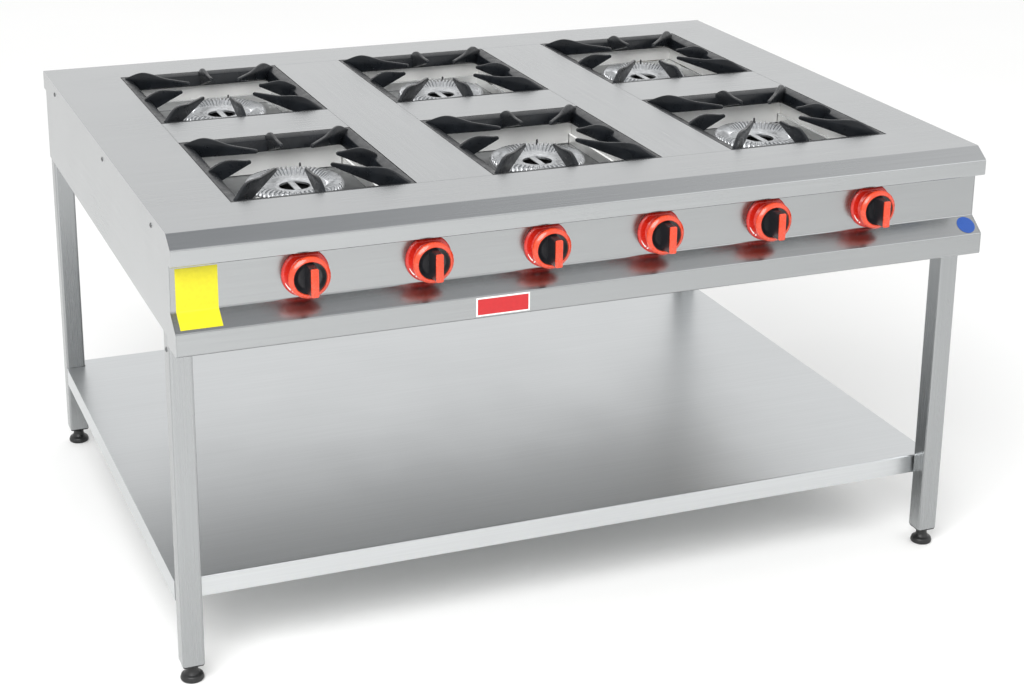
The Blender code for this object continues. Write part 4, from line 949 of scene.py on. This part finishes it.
class RANGE_OT_studio(bpy.types.Operator):
    """Lay the floor, hang the soft lights and place the camera"""
    bl_idname = "gas_range.studio"
    bl_label = "Studio"

    def execute(self, context):
        _, _, studio = settings()
        self.floor(studio)
        self.sky(context.scene)
        for name, place, size, power in SOFTBOXES:
            self.light(name, place, size, power)
        self.camera(context.scene, studio)
        return {"FINISHED"}

    def floor(self, studio):
        """A square of matt white board."""
        half = studio.floor_size / 2
        mesh = bpy.data.meshes.new("studio_floor")
        corners = [(-half, -half, 0), (half, -half, 0), (half, half, 0), (-half, half, 0)]
        mesh.from_pydata(corners, [], [(0, 1, 2, 3)])
        mesh.materials.append(painted_floor("paint_matt_white", studio.floor))
        floor = bpy.data.objects.new("studio_floor", mesh)
        bpy.context.scene.collection.objects.link(floor)

    def sky(self, scene):
        """White walls that fade to a slightly darker ceiling."""
        world = bpy.data.worlds.new("studio_walls")
        world.use_nodes = True
        tree = world.node_tree
        coordinates = add_node(tree, "ShaderNodeTexCoord")
        split = add_node(tree, "ShaderNodeSeparateXYZ",
                         {"Vector": coordinates.outputs["Generated"]})
        height = add_node(tree, "ShaderNodeMapRange",
                          {"Value": split.outputs["Z"], "From Min": CEILING_EDGE,
                           "From Max": 1.0})
        mix = add_node(tree, "ShaderNodeMix",
                       {0: height.outputs["Result"], 6: (1.0, 1.0, 1.0, 1.0), 7: CEILING},
                       data_type="RGBA")
        shell = tree.nodes["Background"]
        tree.links.new(mix.outputs[2], shell.inputs["Color"])
        shell.inputs["Strength"].default_value = WALL_STRENGTH
        scene.world = world
        scene.view_settings.view_transform = "Standard"

    def light(self, name, place, size, power):
        """A rectangular softbox of so many watts, aimed at the middle of the range."""
        lamp = bpy.data.lights.new(name, "AREA")
        lamp.shape = "RECTANGLE"
        lamp.size, lamp.size_y = size
        lamp.energy = power
        obj = bpy.data.objects.new(name, lamp)
        obj.location = place
        aim = Vector(AIM) - Vector(place)
        obj.rotation_euler = aim.to_track_quat("-Z", "Y").to_euler()
        bpy.context.scene.collection.objects.link(obj)

    def camera(self, scene, studio):
        """Stands left of the front at head height and looks down over the worktop."""
        lens = bpy.data.cameras.new("studio_camera")
        lens.lens = studio.lens
        lens.sensor_width = 36.0
        lens.shift_y = CAMERA_SHIFT
        lens.clip_end = 100.0
        camera = bpy.data.objects.new("studio_camera", lens)
        yaw, pitch, roll = (math.radians(degrees) for degrees in CAMERA_DEGREES)
        ahead = Vector((math.sin(yaw) * math.cos(pitch), math.cos(yaw) * math.cos(pitch),
                        -math.sin(pitch)))
        level = Vector((math.cos(yaw), -math.sin(yaw), 0.0))
        upright = level.cross(ahead)
        right = level * math.cos(roll) + upright * math.sin(roll)
        up = upright * math.cos(roll) - level * math.sin(roll)
        turn = Matrix((right, up, -ahead)).transposed().to_4x4()
        place = Vector((DECK_LOW.x, DECK_LOW.y, WORKTOP)) + Vector(CAMERA_FROM_CORNER)
        camera.matrix_world = Matrix.Translation(place) @ turn
        scene.collection.objects.link(camera)
        scene.camera = camera


OPERATORS = [
    RANGE_OT_sheet_metal,
    RANGE_OT_gas_train,
    RANGE_OT_grates,
    RANGE_OT_crowns,
    RANGE_OT_pilots,
    RANGE_OT_knobs,
    RANGE_OT_dials,
    RANGE_OT_feet,
    RANGE_OT_screws,
    RANGE_OT_labels,
    RANGE_OT_studio,
]


class RANGE_PT_looks(bpy.types.Panel):
    """Lists the pieces of the range and what can be set on them"""
    bl_idname = "RANGE_PT_looks"
    bl_label = "Gas Range"
    bl_space_type = "VIEW_3D"
    bl_region_type = "UI"
    bl_category = "Gas Range"

    def draw(self, context):
        layout = self.layout
        for operator in OPERATORS:
            layout.operator(operator.bl_idname)
        for group in (context.scene.range_finishes, context.scene.range_shapes,
                      context.scene.range_studio):
            box = layout.box()
            for key in group.bl_rna.properties.keys():
                if key not in ("rna_type", "name"):
                    box.prop(group, key)


CLASSES = [RangeFinishes, RangeShapes, RangeStudio, *OPERATORS, RANGE_PT_looks]


def register():
    """Adds the classes, and the three groups to the scene."""
    for each in CLASSES:
        bpy.utils.register_class(each)
    bpy.types.Scene.range_finishes = PointerProperty(type=RangeFinishes)
    bpy.types.Scene.range_shapes = PointerProperty(type=RangeShapes)
    bpy.types.Scene.range_studio = PointerProperty(type=RangeStudio)


def unregister():
    """Takes away what register() added."""
    del bpy.types.Scene.range_studio
    del bpy.types.Scene.range_shapes
    del bpy.types.Scene.range_finishes
    for each in reversed(CLASSES):
        bpy.utils.unregister_class(each)


def main():
    """Makes every piece in order."""
    register()
    bpy.ops.gas_range.sheet_metal()
    bpy.ops.gas_range.gas_train()
    bpy.ops.gas_range.grates()
    bpy.ops.gas_range.crowns()
    bpy.ops.gas_range.pilots()
    bpy.ops.gas_range.knobs()
    bpy.ops.gas_range.dials()
    bpy.ops.gas_range.feet()
    bpy.ops.gas_range.screws()
    bpy.ops.gas_range.labels()
    bpy.ops.gas_range.studio()


if __name__ == "__main__":
    main()
